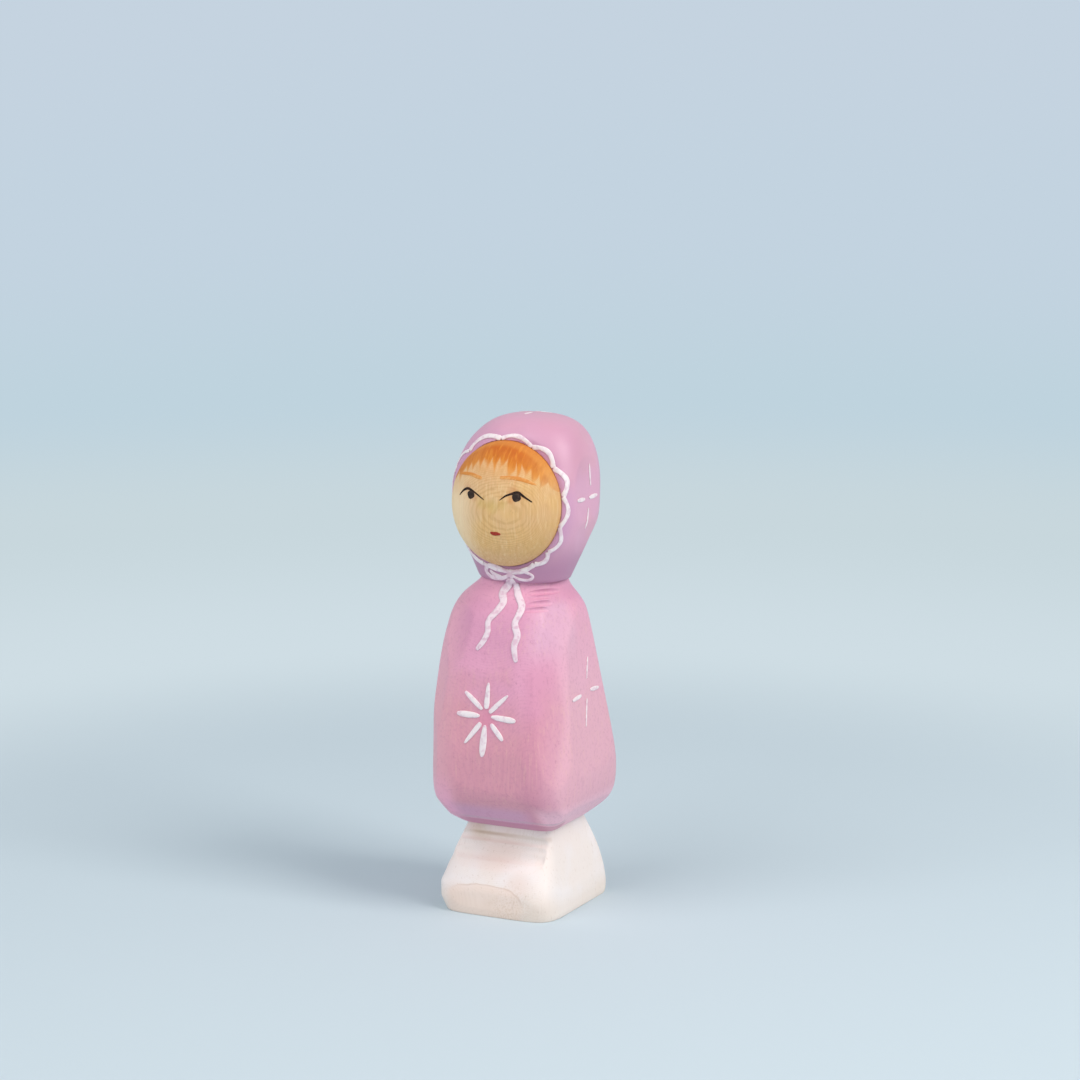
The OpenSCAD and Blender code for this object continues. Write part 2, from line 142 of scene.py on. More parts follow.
def towards(side, lift=0.0):
    """The way a side faces: degrees round from the front towards the figure's left, and up."""
    return Vector((sin(radians(side)) * cos(radians(lift)),
                   -cos(radians(side)) * cos(radians(lift)),
                   sin(radians(lift))))


def touch(wood, start, direction):
    """Where a line meets the wood, and which way the wood faces there."""
    hit, place, facing, _ = wood.ray_cast(start, direction)
    if not hit:
        raise ValueError(f"no wood of {wood.name} is met from {start[:]}")
    return place, facing


def strike(piece, side, height, depth, lift=None):
    """One flat cut of the knife, depth mm deep, at a height in mm on one side of the block.

    The cut follows the block's own slope there, unless a lift in degrees is given."""
    bpy.context.view_layer.update()
    outside = Vector((0, 0, height * MM)) + towards(side) * OUTSIDE * MM
    place, facing = touch(piece, outside, -towards(side))
    if lift is not None:
        facing = towards(side, lift)
    edit(piece)
    bpy.ops.mesh.bisect(plane_co=place - facing * depth * MM, plane_no=facing,
                        use_fill=True, clear_outer=True, threshold=CUT_NEAR)
    leave_edit()


def even_out(piece, grit):
    """Gives a piece even faces, grit mm across, without a change of shape."""
    finish_with(piece, "REMESH", mode="VOXEL", voxel_size=grit * MM)


def soften(piece, grit, rounds):
    """Sands a carved block: eases the edges of its facets."""
    even_out(piece, grit)
    finish_with(piece, "SMOOTH", factor=0.5, iterations=rounds)
    pick(piece)
    bpy.ops.object.shade_smooth()


def cut_away(piece, tool):
    """Cuts the shape of a tool out of a piece."""
    finish_with(piece, "BOOLEAN", operation="DIFFERENCE", object=tool, solver="EXACT")
    bpy.data.objects.remove(tool)


def gouge(radius, away, height, end):
    """The round path of a gouge drawn level across the front, in mm.

    It comes in from the figure's right and stops at end mm on its left."""
    deselect()
    bpy.ops.mesh.primitive_cylinder_add(
        vertices=128, radius=radius * MM, depth=STROKE * MM, rotation=(0, radians(90), 0),
        location=Vector((end - STROKE / 2, -away, height)) * MM)
    bpy.ops.object.transform_apply(location=True, rotation=True, scale=True)
    return bpy.context.object


def round_gouge(radius, away, height, side):
    """The path of a small gouge swung level round one side of the neck, in mm."""
    deselect()
    place = towards(side) * (away - SWING)
    place.z = height
    bpy.ops.mesh.primitive_torus_add(
        major_segments=180, minor_segments=24, major_radius=SWING * MM, minor_radius=radius * MM,
        location=place * MM)
    bpy.ops.object.transform_apply(location=True, rotation=True, scale=True)
    return bpy.context.object


# The four blocks of wood

# Side in degrees, height in mm and depth in mm of each cut. No two corners are alike.
DRESS_CUTS = [
    (47, 45, 0.40), (46, 37, 0.30), (45, 28, 0.25),
    (-42, 53, 0.50), (-45, 43, 0.50), (-47, 31, 0.40),
    (0, 49, 0.20), (-3, 38, 0.25), (3, 27, 0.30),
    (88, 50, 0.15), (91, 39, 0.10), (90, 28, 0.15),
    (-90, 50, 0.20), (-88, 36, 0.15), (-91, 26, 0.12),
    (180, 52, 0.20), (177, 41, 0.25), (183, 29, 0.30),
    (136, 53, 0.40), (133, 40, 0.45), (137, 28, 0.35),
    (-134, 52, 0.45), (-138, 38, 0.40), (-133, 27, 0.35),
]
# Cuts with a lift of their own, the last number: the shoulder that catches the light, and the
# bevel under the belly
SLOPED_CUTS = [
    (70, 53, 0.50, 24),
    (2, 19.5, 0.55, -40), (44, 19.6, 0.45, -38), (89, 19.4, 0.30, -42),
    (-45, 19.4, 0.45, -38), (-90, 19.3, 0.35, -41), (180, 19.3, 0.45, -40),
    (135, 19.6, 0.35, -37), (-136, 19.5, 0.35, -39),
]
HOOD_CUTS = [
    (46, 82, 0.50), (50, 74, 0.35), (88, 78, 0.55), (90, 69, 0.24),
    (-50, 82, 0.25), (-88, 78, 0.25), (-92, 69, 0.20),
    (180, 78, 0.25), (176, 69, 0.20), (134, 80, 0.30), (138, 70, 0.20),
    (-135, 79, 0.30), (-131, 70, 0.20), (110, 86, 0.25), (-112, 86, 0.25),
    (178, 87, 0.35), (4, 88, 0.15), (113, 63.2, 0.40),
]
FOOT_CUTS = [(90, 9, 0.15), (-90, 9, 0.10), (180, 9, 0.20), (2, 3.0, 0.15)]
# Where the foot block stands out more than its blank, high on the figure's right and low on its
# left: side, between two heights in mm, and by how many mm
RIGHT, LEFT = -1, 1
FLARE = [(RIGHT, 2, 5, 0.3), (RIGHT, 5, 8, 0.9), (RIGHT, 8, 11, 1.1), (RIGHT, 11, 14, 1.4),
         (RIGHT, 14, 15.7, 1.3), (RIGHT, 15.7, 17, 0.7), (LEFT, -1, 1, 0.6), (LEFT, 1, 2, 0.4),
         (LEFT, 2, 3, 0.3), (LEFT, 3, 4.5, 0.2), (LEFT, 4.5, 6, 0.1)]
# Paths of a gouge: radius, distance from the axis, height and end, in mm. First the scoop above
# the toe, then the flutes that the gouge left at its upper end.
STROKE = 40
SCOOP = (10.1, 17.1, 15.4, 20)
FLUTES = [(1.0, 7.55, 13.7, 20), (2.0, 9.15, 12.6, 8.0), (2.2, 9.70, 11.7, 7.9)]
# Shallow strokes of a small gouge swung round the neck: radius, distance of its path from the
# axis and height, in mm, and side; the path is flatter than the neck and leaves it at both ends
NECK_FLUTES = [(0.55, 8.04, 59.2, 42), (0.45, 8.54, 58.5, 28), (0.60, 9.38, 57.5, 37),
               (0.50, 9.95, 56.5, 26)]
SWING = 13.0
# How far a block reaches into the next one, and below the ground before its sole is cut flat
SEAM_REACH = 0.8
SOLE_REACH = 0.2
# The size of a block's faces in mm: before the knife, when it is sanded, and where it is finest
ROUGH_GRIT = 0.45
GRIT = 0.3
FINE_GRIT = 0.2
# How much wider the seat is than the face in it
SEAT_ROOM = 1.005


def lower_sole(piece, by):
    """Lets the bottom of a block reach by mm below the ground, for a flat cut to trim it."""
    edit(piece)
    select_points(piece, lambda co: co.z < TOUCHING)
    bpy.ops.transform.translate(value=(0, 0, -by * MM))
    leave_edit()


def trim_sole(piece):
    """One flat cut level with the ground, which leaves the sole's edge crisp."""
    edit(piece)
    bpy.ops.mesh.bisect(plane_co=(0, 0, 0), plane_no=(0, 0, -1), use_fill=True,
                        clear_outer=True, threshold=CUT_NEAR)
    leave_edit()


def lean(piece, wanted, by):
    """Moves the points of a block that pass a test on their place in mm."""
    edit(piece)
    select_points(piece, lambda co: wanted(co / MM))
    bpy.ops.transform.translate(value=Vector(by) * MM)
    leave_edit()


def carve_foot_block():
    """The block that the figure stands on, scooped above its toe."""
    piece = wood_blank("carved_foot_block", "foot_block")
    for side, low, high, by in FLARE:
        lean(piece, lambda place: place.x * side > 0 and low < place.z < high, (side * by, 0, 0))
    raise_top(piece, HEM, SEAM_REACH)
    lower_sole(piece, SOLE_REACH)
    even_out(piece, GRIT)
    for side, height, depth in FOOT_CUTS:
        strike(piece, side, height, depth)
    cut_away(piece, gouge(*SCOOP))
    soften(piece, FINE_GRIT, rounds=4)
    for flute in FLUTES:
        cut_away(piece, gouge(*flute))
    soften(piece, FINE_GRIT, rounds=1)
    trim_sole(piece)
    return piece


def carve_dress():
    """The body, cut in long flat facets, with the gouge's strokes at its neck."""
    piece = wood_blank("carved_dress", "dress")
    raise_top(piece, NECK, SEAM_REACH)
    even_out(piece, ROUGH_GRIT)
    for side, height, depth in DRESS_CUTS:
        strike(piece, side, height, depth)
    for side, height, depth, lift in SLOPED_CUTS:
        strike(piece, side, height, depth, lift)
    soften(piece, GRIT, rounds=12)
    for flute in NECK_FLUTES:
        cut_away(piece, round_gouge(*flute))
    return piece


def carve_hood():
    """The hood is carved whole, and the seat of the face is cut into it last."""
    piece = wood_blank("carved_hood", "hood")
    edit(piece)
    bpy.ops.mesh.convex_hull()
    leave_edit()
    even_out(piece, ROUGH_GRIT)
    for side, height, depth in HOOD_CUTS:
        strike(piece, side, height, depth)
    soften(piece, GRIT, rounds=6)
    seat = wood_blank("seat", "face")
    edit(seat)
    bpy.ops.transform.resize(value=(SEAT_ROOM,) * 3, center_override=FACE * MM)
    leave_edit()
    cut_away(piece, seat)
    return piece


def carve_face():
    """The bare oval of the face, which has no facets."""
    piece = wood_blank("carved_face", "face")
    soften(piece, FINE_GRIT, rounds=5)
    return piece


# The brush

def smooth_path(points, steps):
    """A smooth path through given points, with steps between each two."""
    last = len(points) - 1
    path = []
    for i in range(last):
        a, b, c, d = (Vector(points[min(max(i + k, 0), last)]) for k in (-1, 0, 1, 2))
        for j in range(steps):
            u = j / steps
            path.append(0.5 * (2 * b + (c - a) * u + (2 * a - 5 * b + 4 * c - d) * u ** 2
                               + (3 * b - a - 3 * c + d) * u ** 3))
    path.append(Vector(points[last]))
    return path


def width_along(widths, share):
    """The brush width at a share of a stroke, from widths placed evenly along it."""
    at = share * (len(widths) - 1)
    i = min(int(at), len(widths) - 2)
    return widths[i] + (widths[i + 1] - widths[i]) * (at - i)


# How a stroke's two coordinates lie in space, and the way the brush comes down on the wood
FAR = 100
ALONG_Y, ALONG_X, ALONG_Z = Vector((0, 1, 0)), Vector((1, 0, 0)), Vector((0, 0, 1))
VIEWS = {
    "front": (lambda a, b: Vector((a, -FAR, b)), ALONG_Y),
    "left": (lambda a, b: Vector((FAR, a, b)), -ALONG_X),
    "right": (lambda a, b: Vector((-FAR, a, b)), ALONG_X),
    "above": (lambda a, b: Vector((a, b, 2 * FAR)), -ALONG_Z),
}


def move_point(piece, here, there):
    """In edit mode, moves the point that lies here."""
    select_points(piece, lambda co: (co - here).length < TOUCHING)
    bpy.ops.transform.translate(value=there - here)


def strip(wood, view, points, widths, steps=4):
    """A flat strip of paint on the wood along points in mm, as wide as widths in mm.

    It starts as a small plane, and its end edge is pulled along the path step by step."""
    place_in, downwards = VIEWS[view]
    spots = [touch(wood, place_in(*p) * MM, downwards) for p in smooth_path(points, steps)]
    edges = []
    for i, (place, facing) in enumerate(spots):
        along = spots[min(i + 1, len(spots) - 1)][0] - spots[max(i - 1, 0)][0]
        aside = along.cross(facing).normalized()
        half = width_along(widths, i / (len(spots) - 1)) * MM / 2
        edges.append((place - aside * half, place + aside * half))

    deselect()
    bpy.ops.mesh.primitive_plane_add(size=MM, location=(0, 0, 0))
    piece = bpy.context.object
    edit(piece)
    corners = [Vector((x, y, 0)) * MM / 2 for x, y in ((-1, -1), (1, -1), (-1, 1), (1, 1))]
    for corner, spot in zip(corners, edges[0] + edges[1]):
        move_point(piece, corner, spot)
    for (a, b), (c, d) in zip(edges[1:], edges[2:]):
        ends = (a, b)
        select_points(piece, lambda co: min((co - end).length for end in ends) < TOUCHING)
        bpy.ops.mesh.extrude_edges_move(TRANSFORM_OT_translate={"value": c - a})
        move_point(piece, b + c - a, d)
    leave_edit()
    return piece


def paint(name, strips, wood, thick):
    """Joins strips, presses them onto the wood and gives them the body of thick paint."""
    deselect()
    for part in strips:
        part.select_set(True)
    bpy.context.view_layer.objects.active = strips[0]
    if len(strips) > 1:
        bpy.ops.object.join()
    piece = strips[0]
    piece.name = name
    finish_with(piece, "SUBSURF", levels=1, render_levels=1)
    finish_with(piece, "SHRINKWRAP", target=wood, wrap_method="NEAREST_SURFACEPOINT")
    finish_with(piece, "SOLIDIFY", thickness=thick * MM, offset=PAINT_OUTWARDS)
    finish_with(piece, "SUBSURF", levels=1, render_levels=1)
    pick(piece)
    bpy.ops.object.shade_smooth()
    return piece


# The body of the paint in mm, and how much of it stands out: 1 is all, -1 is none
THICK_PAINT = 0.2
THIN_PAINT = 0.07
PAINT_OUTWARDS = 0.8

# The lace, scallop by scallop from under the chin up the figure's left and round: where each
# ends, sideways and up from the middle of the face, how far it bulges outwards, and its width
LACE_START = (0.7, -12.1)
LACE = [
    ((5.6, -10.4), 0.6, 0.95), ((8.1, -8.1), 0.8, 0.90), ((10.2, -3.5), 1.1, 0.80),
    ((10.75, 1.9), 1.1, 0.85), ((8.8, 6.8), 1.45, 1.00), ((4.7, 10.2), 1.5, 0.95),
    ((-1.2, 11.4), 1.25, 0.85), ((-7.75, 8.75), 1.4, 1.00), ((-10.9, 5.0), 0.9, 0.70),
    ((-11.4, 0.2), 0.5, 0.55), ((-10.6, -4.9), 0.5, 0.55), ((-8.2, -8.8), 0.5, 0.70),
    ((-4.4, -11.1), 0.4, 1.05), ((0.7, -12.1), 0.2, 0.80),
]
# How a stroke's width swells along a scallop, and how round a scallop is
LACE_SWELL = (1.2, 0.88, 1.15, 0.85, 1.2)
LACE_ROUND = 0.8
LACE_SHARES = (0, 0.12, 0.3, 0.5, 0.7, 0.88, 1)


def scallop(start, end, bulge):
    """One scallop of the lace, bowed away from the middle of the face."""
    out = Vector(((end - start).y, (start - end).x)).normalized()
    return [start.lerp(end, s) + out * bulge * sin(pi * s) ** LACE_ROUND for s in LACE_SHARES]


def paint_lace(wood):
    """The white lace round the face, one stroke for each scallop."""
    strips = []
    middle = Vector((FACE.x, FACE.z))
    start = middle + Vector(LACE_START)
    for end, bulge, width in LACE:
        end = middle + Vector(end)
        widths = [width * swell for swell in LACE_SWELL]
        strips.append(strip(wood, "front", scallop(start, end, bulge), widths, steps=2))
        start = end
    return paint("painted_lace", strips, wood, THICK_PAINT)


# Strokes sideways and up in mm from the neck, on the axis, with their widths
BOW = [
    ([(1.0, 1.9), (-0.6, 2.5), (-2.6, 3.0), (-3.8, 2.6), (-4.0, 1.6), (-3.0, 0.8),
      (-1.4, 0.7), (0.0, 1.1), (1.0, 1.7)], [0.6, 0.75, 0.95, 0.9, 0.95, 1.0, 0.8, 0.6]),
    ([(-0.7, 1.1), (-2.3, 1.4), (-3.1, 2.1)], [0.5, 0.9, 0.5]),
    ([(1.1, 2.0), (2.6, 2.45), (4.3, 2.1), (5.0, 1.5), (4.4, 0.85), (3.0, 0.8),
      (1.9, 1.2), (1.2, 1.7)], [0.6, 0.55, 0.6, 0.66, 0.62, 0.55, 0.5]),
    ([(0.5, 2.4), (1.05, 1.7), (1.2, 0.9)], [0.8, 1.15, 0.7]),
]
RIGHT_TAIL = ([(0.9, 0.9), (0.35, -0.2), (-0.7, -1.9), (0.0, -3.3), (-0.9, -5.0), (-2.1, -6.6),
               (-1.8, -8.3), (-2.5, -10.1), (-3.7, -11.7)],
              [0.8, 1.5, 1.85, 1.5, 1.6, 1.3, 1.15, 1.2, 1.15, 0.8])
LEFT_TAIL = ([(1.15, 0.9), (1.55, -0.3), (2.4, -2.2), (3.6, -3.7), (3.5, -5.3), (3.1, -6.7),
              (4.0, -8.6), (3.6, -10.5), (4.4, -13.2)],
             [0.6, 1.1, 1.4, 1.4, 1.45, 1.2, 1.4, 1.35, 1.3, 0.85])


def about(middle, points):
    """Points moved to stand about a middle."""
    return [Vector(middle) + Vector(p) for p in points]


def paint_bow(wood):
    """The bow under the chin: two open loops, a loop's inner stroke and the knot."""
    strips = [strip(wood, "front", about((0, NECK), points), widths) for points, widths in BOW]
    return paint("painted_bow", strips, wood, THICK_PAINT)


def paint_tail(name, stroke, wood):
    """One wavy tail of the bow, in a single stroke."""
    points, widths = stroke
    tail = strip(wood, "front", about((0, NECK), points), widths, steps=3)
    return paint(name, [tail], wood, THICK_PAINT)


# Where the petals meet, from the middle of the flower's box: sideways and up in mm
FLOWER_SHIFT = (-0.45, 0.45)
# Petals: inner and outer end from there, in mm, and widths outwards
PETALS = [
    ((0.05, 1.55), (0.2, 6.3), (0.85, 1.2, 1.05, 0.8, 0.35)),
    ((0.65, 0.95), (4.2, 4.4), (0.7, 1.0, 0.95, 0.75, 0.3)),
    ((1.05, 0.3), (6.05, 0.0), (0.4, 1.0, 1.15, 1.2, 0.55)),
    ((1.1, -0.9), (3.75, -3.7), (0.6, 1.0, 1.05, 1.0, 0.5)),
    ((0.0, -1.2), (-0.25, -7.0), (0.5, 1.1, 1.5, 1.35, 0.5)),
    ((-0.8, -0.9), (-3.9, -4.9), (0.8, 1.05, 0.95, 0.75, 0.3)),
    ((-1.1, 0.25), (-5.8, 0.3), (0.4, 1.05, 1.25, 1.15, 0.5)),
    ((-0.7, 1.4), (-4.4, 4.3), (0.5, 1.0, 1.05, 0.9, 0.5)),
]


def paint_flower(wood):
    """The flower on the front, one stroke for each petal."""
    middle = (FLOWER.x + FLOWER_SHIFT[0], FLOWER.z + FLOWER_SHIFT[1])
    strips = [strip(wood, "front", about(middle, (start, end)), widths, steps=8)
              for start, end, widths in PETALS]
    return paint("painted_flower", strips, wood, THICK_PAINT)


# The four strokes of a star: ends in mm from its middle, towards the back and up, and widths
FINE = (0.24, 0.42, 0.46, 0.38, 0.2)
DASH = (0.4, 0.8, 0.88, 0.78, 0.35)
DRESS_STAR = [((2.3, 6.0), (0.9, 2.2), FINE), ((0.2, -1.0), (-1.5, -6.0), FINE),
              ((-5.5, -0.5), (-1.7, -0.2), DASH), ((1.8, 0.1), (5.2, -0.1), DASH)]
HOOD_STAR = [((1.2, 5.9), (1.4, 1.8), FINE), ((0.3, -1.9), (-0.6, -5.6), FINE),
             ((-3.8, -0.1), (-0.9, -0.2), DASH), ((0.7, -0.2), (3.9, -0.1), DASH)]
CROWN_STAR = [((0.1, -3.3), (0.25, -0.6), DASH), ((0.2, 0.9), (0.1, 3.2), DASH),
              ((-3.2, 1.2), (-0.9, 0.9), DASH), ((1.1, 0.9), (3.3, 1.4), DASH)]


def paint_star(name, strokes, wood, view, middle, thick=THICK_PAINT):
    """A star of four strokes about a middle."""
    strips = [strip(wood, view, about(middle, (start, end)), widths, steps=6)
              for start, end, widths in strokes]
    return paint(name, strips, wood, thick)


def side_star(name, node, strokes, wood, view):
    """A star on a side of the figure, about the middle of the node that it stands for."""
    middle = middle_of(node)
    return paint_star(name, strokes, wood, view, (middle.y, middle.z))


# The face: strokes sideways and up in mm from its middle, with their widths
LIDS = {
    "right": ([(-7.3, 1.55), (-6.5, 2.45), (-5.5, 2.95), (-4.6, 2.8), (-3.3, 2.2), (-1.75, 1.3)],
              [0.14, 0.36, 0.5, 0.5, 0.36, 0.28, 0.14]),
    "left": ([(1.3, 1.45), (2.4, 2.3), (3.6, 2.75), (4.6, 3.0), (5.6, 2.35), (7.1, 1.35)],
             [0.12, 0.3, 0.4, 0.56, 0.5, 0.4, 0.2]),
}
PUPILS = {
    "right": ([(-4.95, 2.65), (-4.6, 2.0), (-4.25, 1.35)], [1.0, 1.5, 1.6, 1.5, 0.9]),
    "left": ([(4.1, 2.8), (4.4, 2.1), (4.65, 1.45)], [1.0, 1.5, 1.65, 1.5, 0.9]),
}
BROWS = {
    "right": ([(-8.0, 5.2), (-6.6, 5.4), (-5.0, 5.45), (-3.7, 5.2), (-2.5, 4.95)],
              [0.3, 0.6, 0.65, 0.75, 0.55]),
    "left": ([(1.0, 5.35), (3.0, 5.45), (4.6, 5.3), (6.0, 4.9), (7.5, 4.3)],
             [0.6, 0.7, 0.75, 0.65, 0.3]),
}
LIPS = ([(-0.6, -4.4), (0.1, -4.6), (0.75, -4.55), (1.4, -4.65)], [0.34, 0.68, 0.76, 0.62, 0.3])


def paint_on_face(name, stroke, wood):
    """One thin stroke on the face: a brow, a lid, a pupil or the lips."""
    points, widths = stroke
    line = strip(wood, "front", about((FACE.x, FACE.z), points), widths)
    return paint(name, [line], wood, THIN_PAINT)


# The film of glaze in mm: how far above the middle of the face it ends, where it ends towards
# the back, and how thick it is; its rim is a crease above this many degrees
FRINGE_FOOT = 3.4
GLAZE_BACK = -7.9
GLAZE_THICK = 0.025
GLAZE_CREASE = 40


def glaze_fringe(face):
    """The film of orange glaze over the top of the face, cut from the face's own surface."""
    piece = face.copy()
    piece.data = face.data.copy()
    piece.name = "glazed_fringe"
    bpy.context.scene.collection.objects.link(piece)
    edit(piece)
    bpy.ops.mesh.bisect(plane_co=Vector((0, 0, FACE.z + FRINGE_FOOT)) * MM, plane_no=(0, 0, -1),
                        clear_outer=True, threshold=CUT_NEAR)
    bpy.ops.mesh.select_all(action="SELECT")
    bpy.ops.mesh.bisect(plane_co=Vector((0, GLAZE_BACK, 0)) * MM, plane_no=(0, 1, 0),
                        clear_outer=True, threshold=CUT_NEAR)
    leave_edit()
    finish_with(piece, "SOLIDIFY", thickness=GLAZE_THICK * MM, offset=1)
    pick(piece)
    bpy.ops.object.shade_smooth_by_angle(angle=radians(GLAZE_CREASE))
    return piece


# Materials

def linear(colour):
    """A colour written as sRGB hex, as Blender's linear red, green, blue and alpha."""
    parts = [int(colour[i:i + 2], 16) / 255 for i in (1, 3, 5)]
    return [p / 12.92 if p <= 0.04045 else ((p + 0.055) / 1.055) ** 2.4 for p in parts] + [1]


def add(tree, kind, inputs=None, out=0, **settings):
    """Adds a node with its settings and links, and gives one of its outputs.

    An input is a value, a hex colour, or the output that feeds it."""
    node = tree.nodes.new("ShaderNode" + kind)
    for name, value in settings.items():
        setattr(node, name, value)
    for name, value in (inputs or {}).items():
        if isinstance(value, bpy.types.NodeSocket):
            tree.links.new(value, node.inputs[name])
        else:
            node.inputs[name].default_value = linear(value) if isinstance(value, str) else value
    return node.outputs[out] if node.outputs else None


LEVELS = ("From Min", "From Max", "To Min", "To Max")


def part_of(tree, wood, *limits):
    """How far a place lies within some limits, as a share.

    A limit is one of the wood's patterns, by its name or itself, and the two levels between which
    it rises smoothly from 0 to 1, or from and to two more levels. With no levels it counts as is."""
    share = None
    for pattern, *levels in limits:
        inside = wood[pattern] if isinstance(pattern, str) else pattern
        if levels:
            inside = add(tree, "MapRange", {"Value": inside, **dict(zip(LEVELS, levels))},
                         interpolation_type="SMOOTHSTEP")
        if share is None:
            share = inside
        else:
            share = add(tree, "Math", {0: share, 1: inside}, operation="MULTIPLY")
    return share


def lay_on(tree, wood, colour, layers):
    """Lays thin layers over a colour, each with its limits, its strength and its colour."""
    for limits, strength, layer in layers:
        share = part_of(tree, wood, *limits)
        share = add(tree, "Math", {0: share, 1: strength}, operation="MULTIPLY")
        colour = add(tree, "Mix", {0: share, 6: colour, 7: layer}, out=2, data_type="RGBA")
    return colour


def new_material(name):
    """An empty material and its tree of nodes."""
    material = bpy.data.materials.new(name)
    material.use_nodes = True
    material.node_tree.nodes.clear()
    return material, material.node_tree


def finish_material(tree, colour, height, relief, **surface):
    """The shader and the output. height is a pattern from 0 to 1, and relief its depth in mm."""
    normal = add(tree, "Bump", {"Height": height, "Strength": 1.0, "Distance": relief * MM})
    finish = {name.replace("_", " "): value for name, value in surface.items()}
    shader = add(tree, "BsdfPrincipled", {"Base Color": colour, "Normal": normal, **finish})
    add(tree, "OutputMaterial", {"Surface": shader})


def place_in_mm(tree):
    """A place on a piece, in mm."""
    here = add(tree, "TexCoord", out="Object")
    return add(tree, "Mapping", {"Vector": here, "Scale": (1 / MM,) * 3})


def share_of_half(tree, value, middle, half):
    """How far a value is from the middle, as a share of half a width."""
    away = add(tree, "Math", {0: value, 1: middle}, operation="SUBTRACT")
    return add(tree, "Math", {0: away, 1: half}, operation="DIVIDE")


# The share of a spot's radius inside which it is full
SPOT_HEART = 0.15


def spot(tree, place, middle, radius):
    """A soft round patch about a place in mm: one at its heart, nothing at its radius."""
    away = add(tree, "VectorMath", {0: place, 1: middle}, out="Value", operation="DISTANCE")
    return part_of(tree, {}, (away, radius, SPOT_HEART * radius))


# Maple: the rings of a slow branch, finer than a trunk's, and where its pith lies, in mm
RING_SPACING = 0.12
PITH = (-1.5, 20.0)
# How many fibres, pores and clouds of colour come to a millimetre, across the grain twice and
# along it. Real fibres and pores are some ten times finer, and drawn this coarse so that they show.
FIBRES_A_MM = (2.6, 2.6, 0.14)
PORES_A_MM = (3.0, 3.0, 1.2)
CLOUDS_A_MM = 0.12
CLOUD_MEAN = 0.5
WOOD_RELIEF = 0.012


def maple(tree, spots):
    """The wood as it grew: place in mm, rings round the pith, upright fibres, pores and clouds.

    Round spots, each with a middle and a radius in mm, are marked on it by name."""
    place = place_in_mm(tree)
    from_pith = add(tree, "Mapping", {"Vector": place, "Location": (-PITH[0], -PITH[1], 0)})
    rings = add(tree, "TexWave", {"Vector": from_pith, "Scale": pi / 10 / RING_SPACING,
                                  "Distortion": 3.0, "Detail": 2.0, "Detail Scale": 0.2},
                out="Fac", wave_type="RINGS", rings_direction="Z")
    along = add(tree, "Mapping", {"Vector": place, "Scale": FIBRES_A_MM})
    fibres = add(tree, "TexNoise", {"Vector": along, "Scale": 1.0, "Detail": 3.0, "Roughness": 0.6})
    short = add(tree, "Mapping", {"Vector": place, "Scale": PORES_A_MM})
    dots = add(tree, "TexNoise", {"Vector": short, "Scale": 1.0, "Detail": 1.0})
    cloud = add(tree, "TexNoise", {"Vector": place, "Scale": CLOUDS_A_MM, "Detail": 2.0})
    wood = {"place": place, "rings": rings, "fibres": fibres, "cloud": cloud,
            "pores": part_of(tree, {}, (dots, 0.66, 0.75))}
    for axis in "xyz":
        wood[axis] = add(tree, "SeparateXYZ", {0: place}, out=axis.upper())
    for name, (middle, radius) in spots.items():
        wood[name] = spot(tree, place, middle, radius)
    return wood


def grain(tree, wood):
    """The height of the wood's surface, for its relief."""
    return add(tree, "Math", {0: wood["fibres"], 1: wood["pores"]}, operation="SUBTRACT")


# Where the rose stain turns lilac on its way up, and how far that border wanders, in mm
LILAC_FROM, LILAC_TO = HEM + 14, HEM + 34
LILAC_WANDER = 40
MOTTLES_A_MM = 1.8
# The middle of the flower: its place and radius
ROSE_SPOTS = {"heart": ((FLOWER.x, -14.6, FLOWER.z + 0.4), 3.4)}
# Layers of stain, and of painted light and shade, on the dress: limits in mm, strength and colour.
# x is towards the figure's left, y towards its back and z up.
ROSE_LAYERS = [
    ([("height", LILAC_FROM, LILAC_TO)], 1.0, "#e6a3c0"),
    # The chest, darkened as painted shade, and the left shoulder, lightened as a painted highlight,
    # both up to the neck
    ([("z", 44, 54), ("x", 8, 4), ("z", 58.5, 56.5)], 0.55, "#d08fb2"),
    ([("z", 45, 52), ("x", 4, 8), ("z", 58.5, 56.5), ("y", 0, -3)], 0.6, "#dcb2cb"),
    # The left side, and the edge of the front beside it
    ([("x", 8.5, 12.5)], 0.75, "#eab7c7"),
    ([("x", 5, 8), ("x", 13, 11.5), ("z", 50, 44), ("y", -7, -9)], 0.4, "#cf8aa5"),
    # Streaks of pale wood
    ([("fibres", 0.48, 0.72), ("cloud", 0.6, 0.4)], 0.25, "#ecc0b0"),
    # The bevel under the belly, with painted shade and a bluish painted floor reflection in front
    # and painted light lifting its shade on the left, and the two edges of the hem
    ([("z", HEM + 6, HEM + 3.5), ("y", -7, -9), ("x", 9, 4.5), ("x", -11, -8)], 0.75, "#d1a0c2"),
    ([("x", 7, 10), ("z", HEM + 6.5, HEM + 3.5)], 0.8, "#ffccdc"),
    ([("z", HEM + 1.75, HEM + 2.0), ("z", HEM + 2.45, HEM + 2.2), ("y", -5, -7)], 0.5, "#c5aab6"),
    ([("z", HEM + 1.9, HEM + 1.5), ("y", -4, -6)], 0.6, "#bd7391"),
    # The grain, which the stain fills
    ([("rings", 0.5, 0.95)], 0.07, "#b9748c"),
    ([("fibres", 0.42, 0.3)], 0.18, "#c07c95"),
    ([("pores",)], 0.2, "#a8607c"),
    # The right side, and its lower end lightened with painted light against its shade
    ([("x", -5, -12)], 0.6, "#f2b8c3"),
    ([("x", -6, -9), ("z", HEM + 12, HEM + 5)], 0.5, "#fab6d6"),
    # Mottles of pigment, painted shade on the neck under the hood, and the middle of the flower
    ([("mottle", 0.5, 0.7)], 0.22, "#c07f9c"),
    ([("z", 56, 58), ("x", 3, 6)], 0.4, "#d08fae"),
    ([("heart",)], 0.45, "#e07f9c"),
]


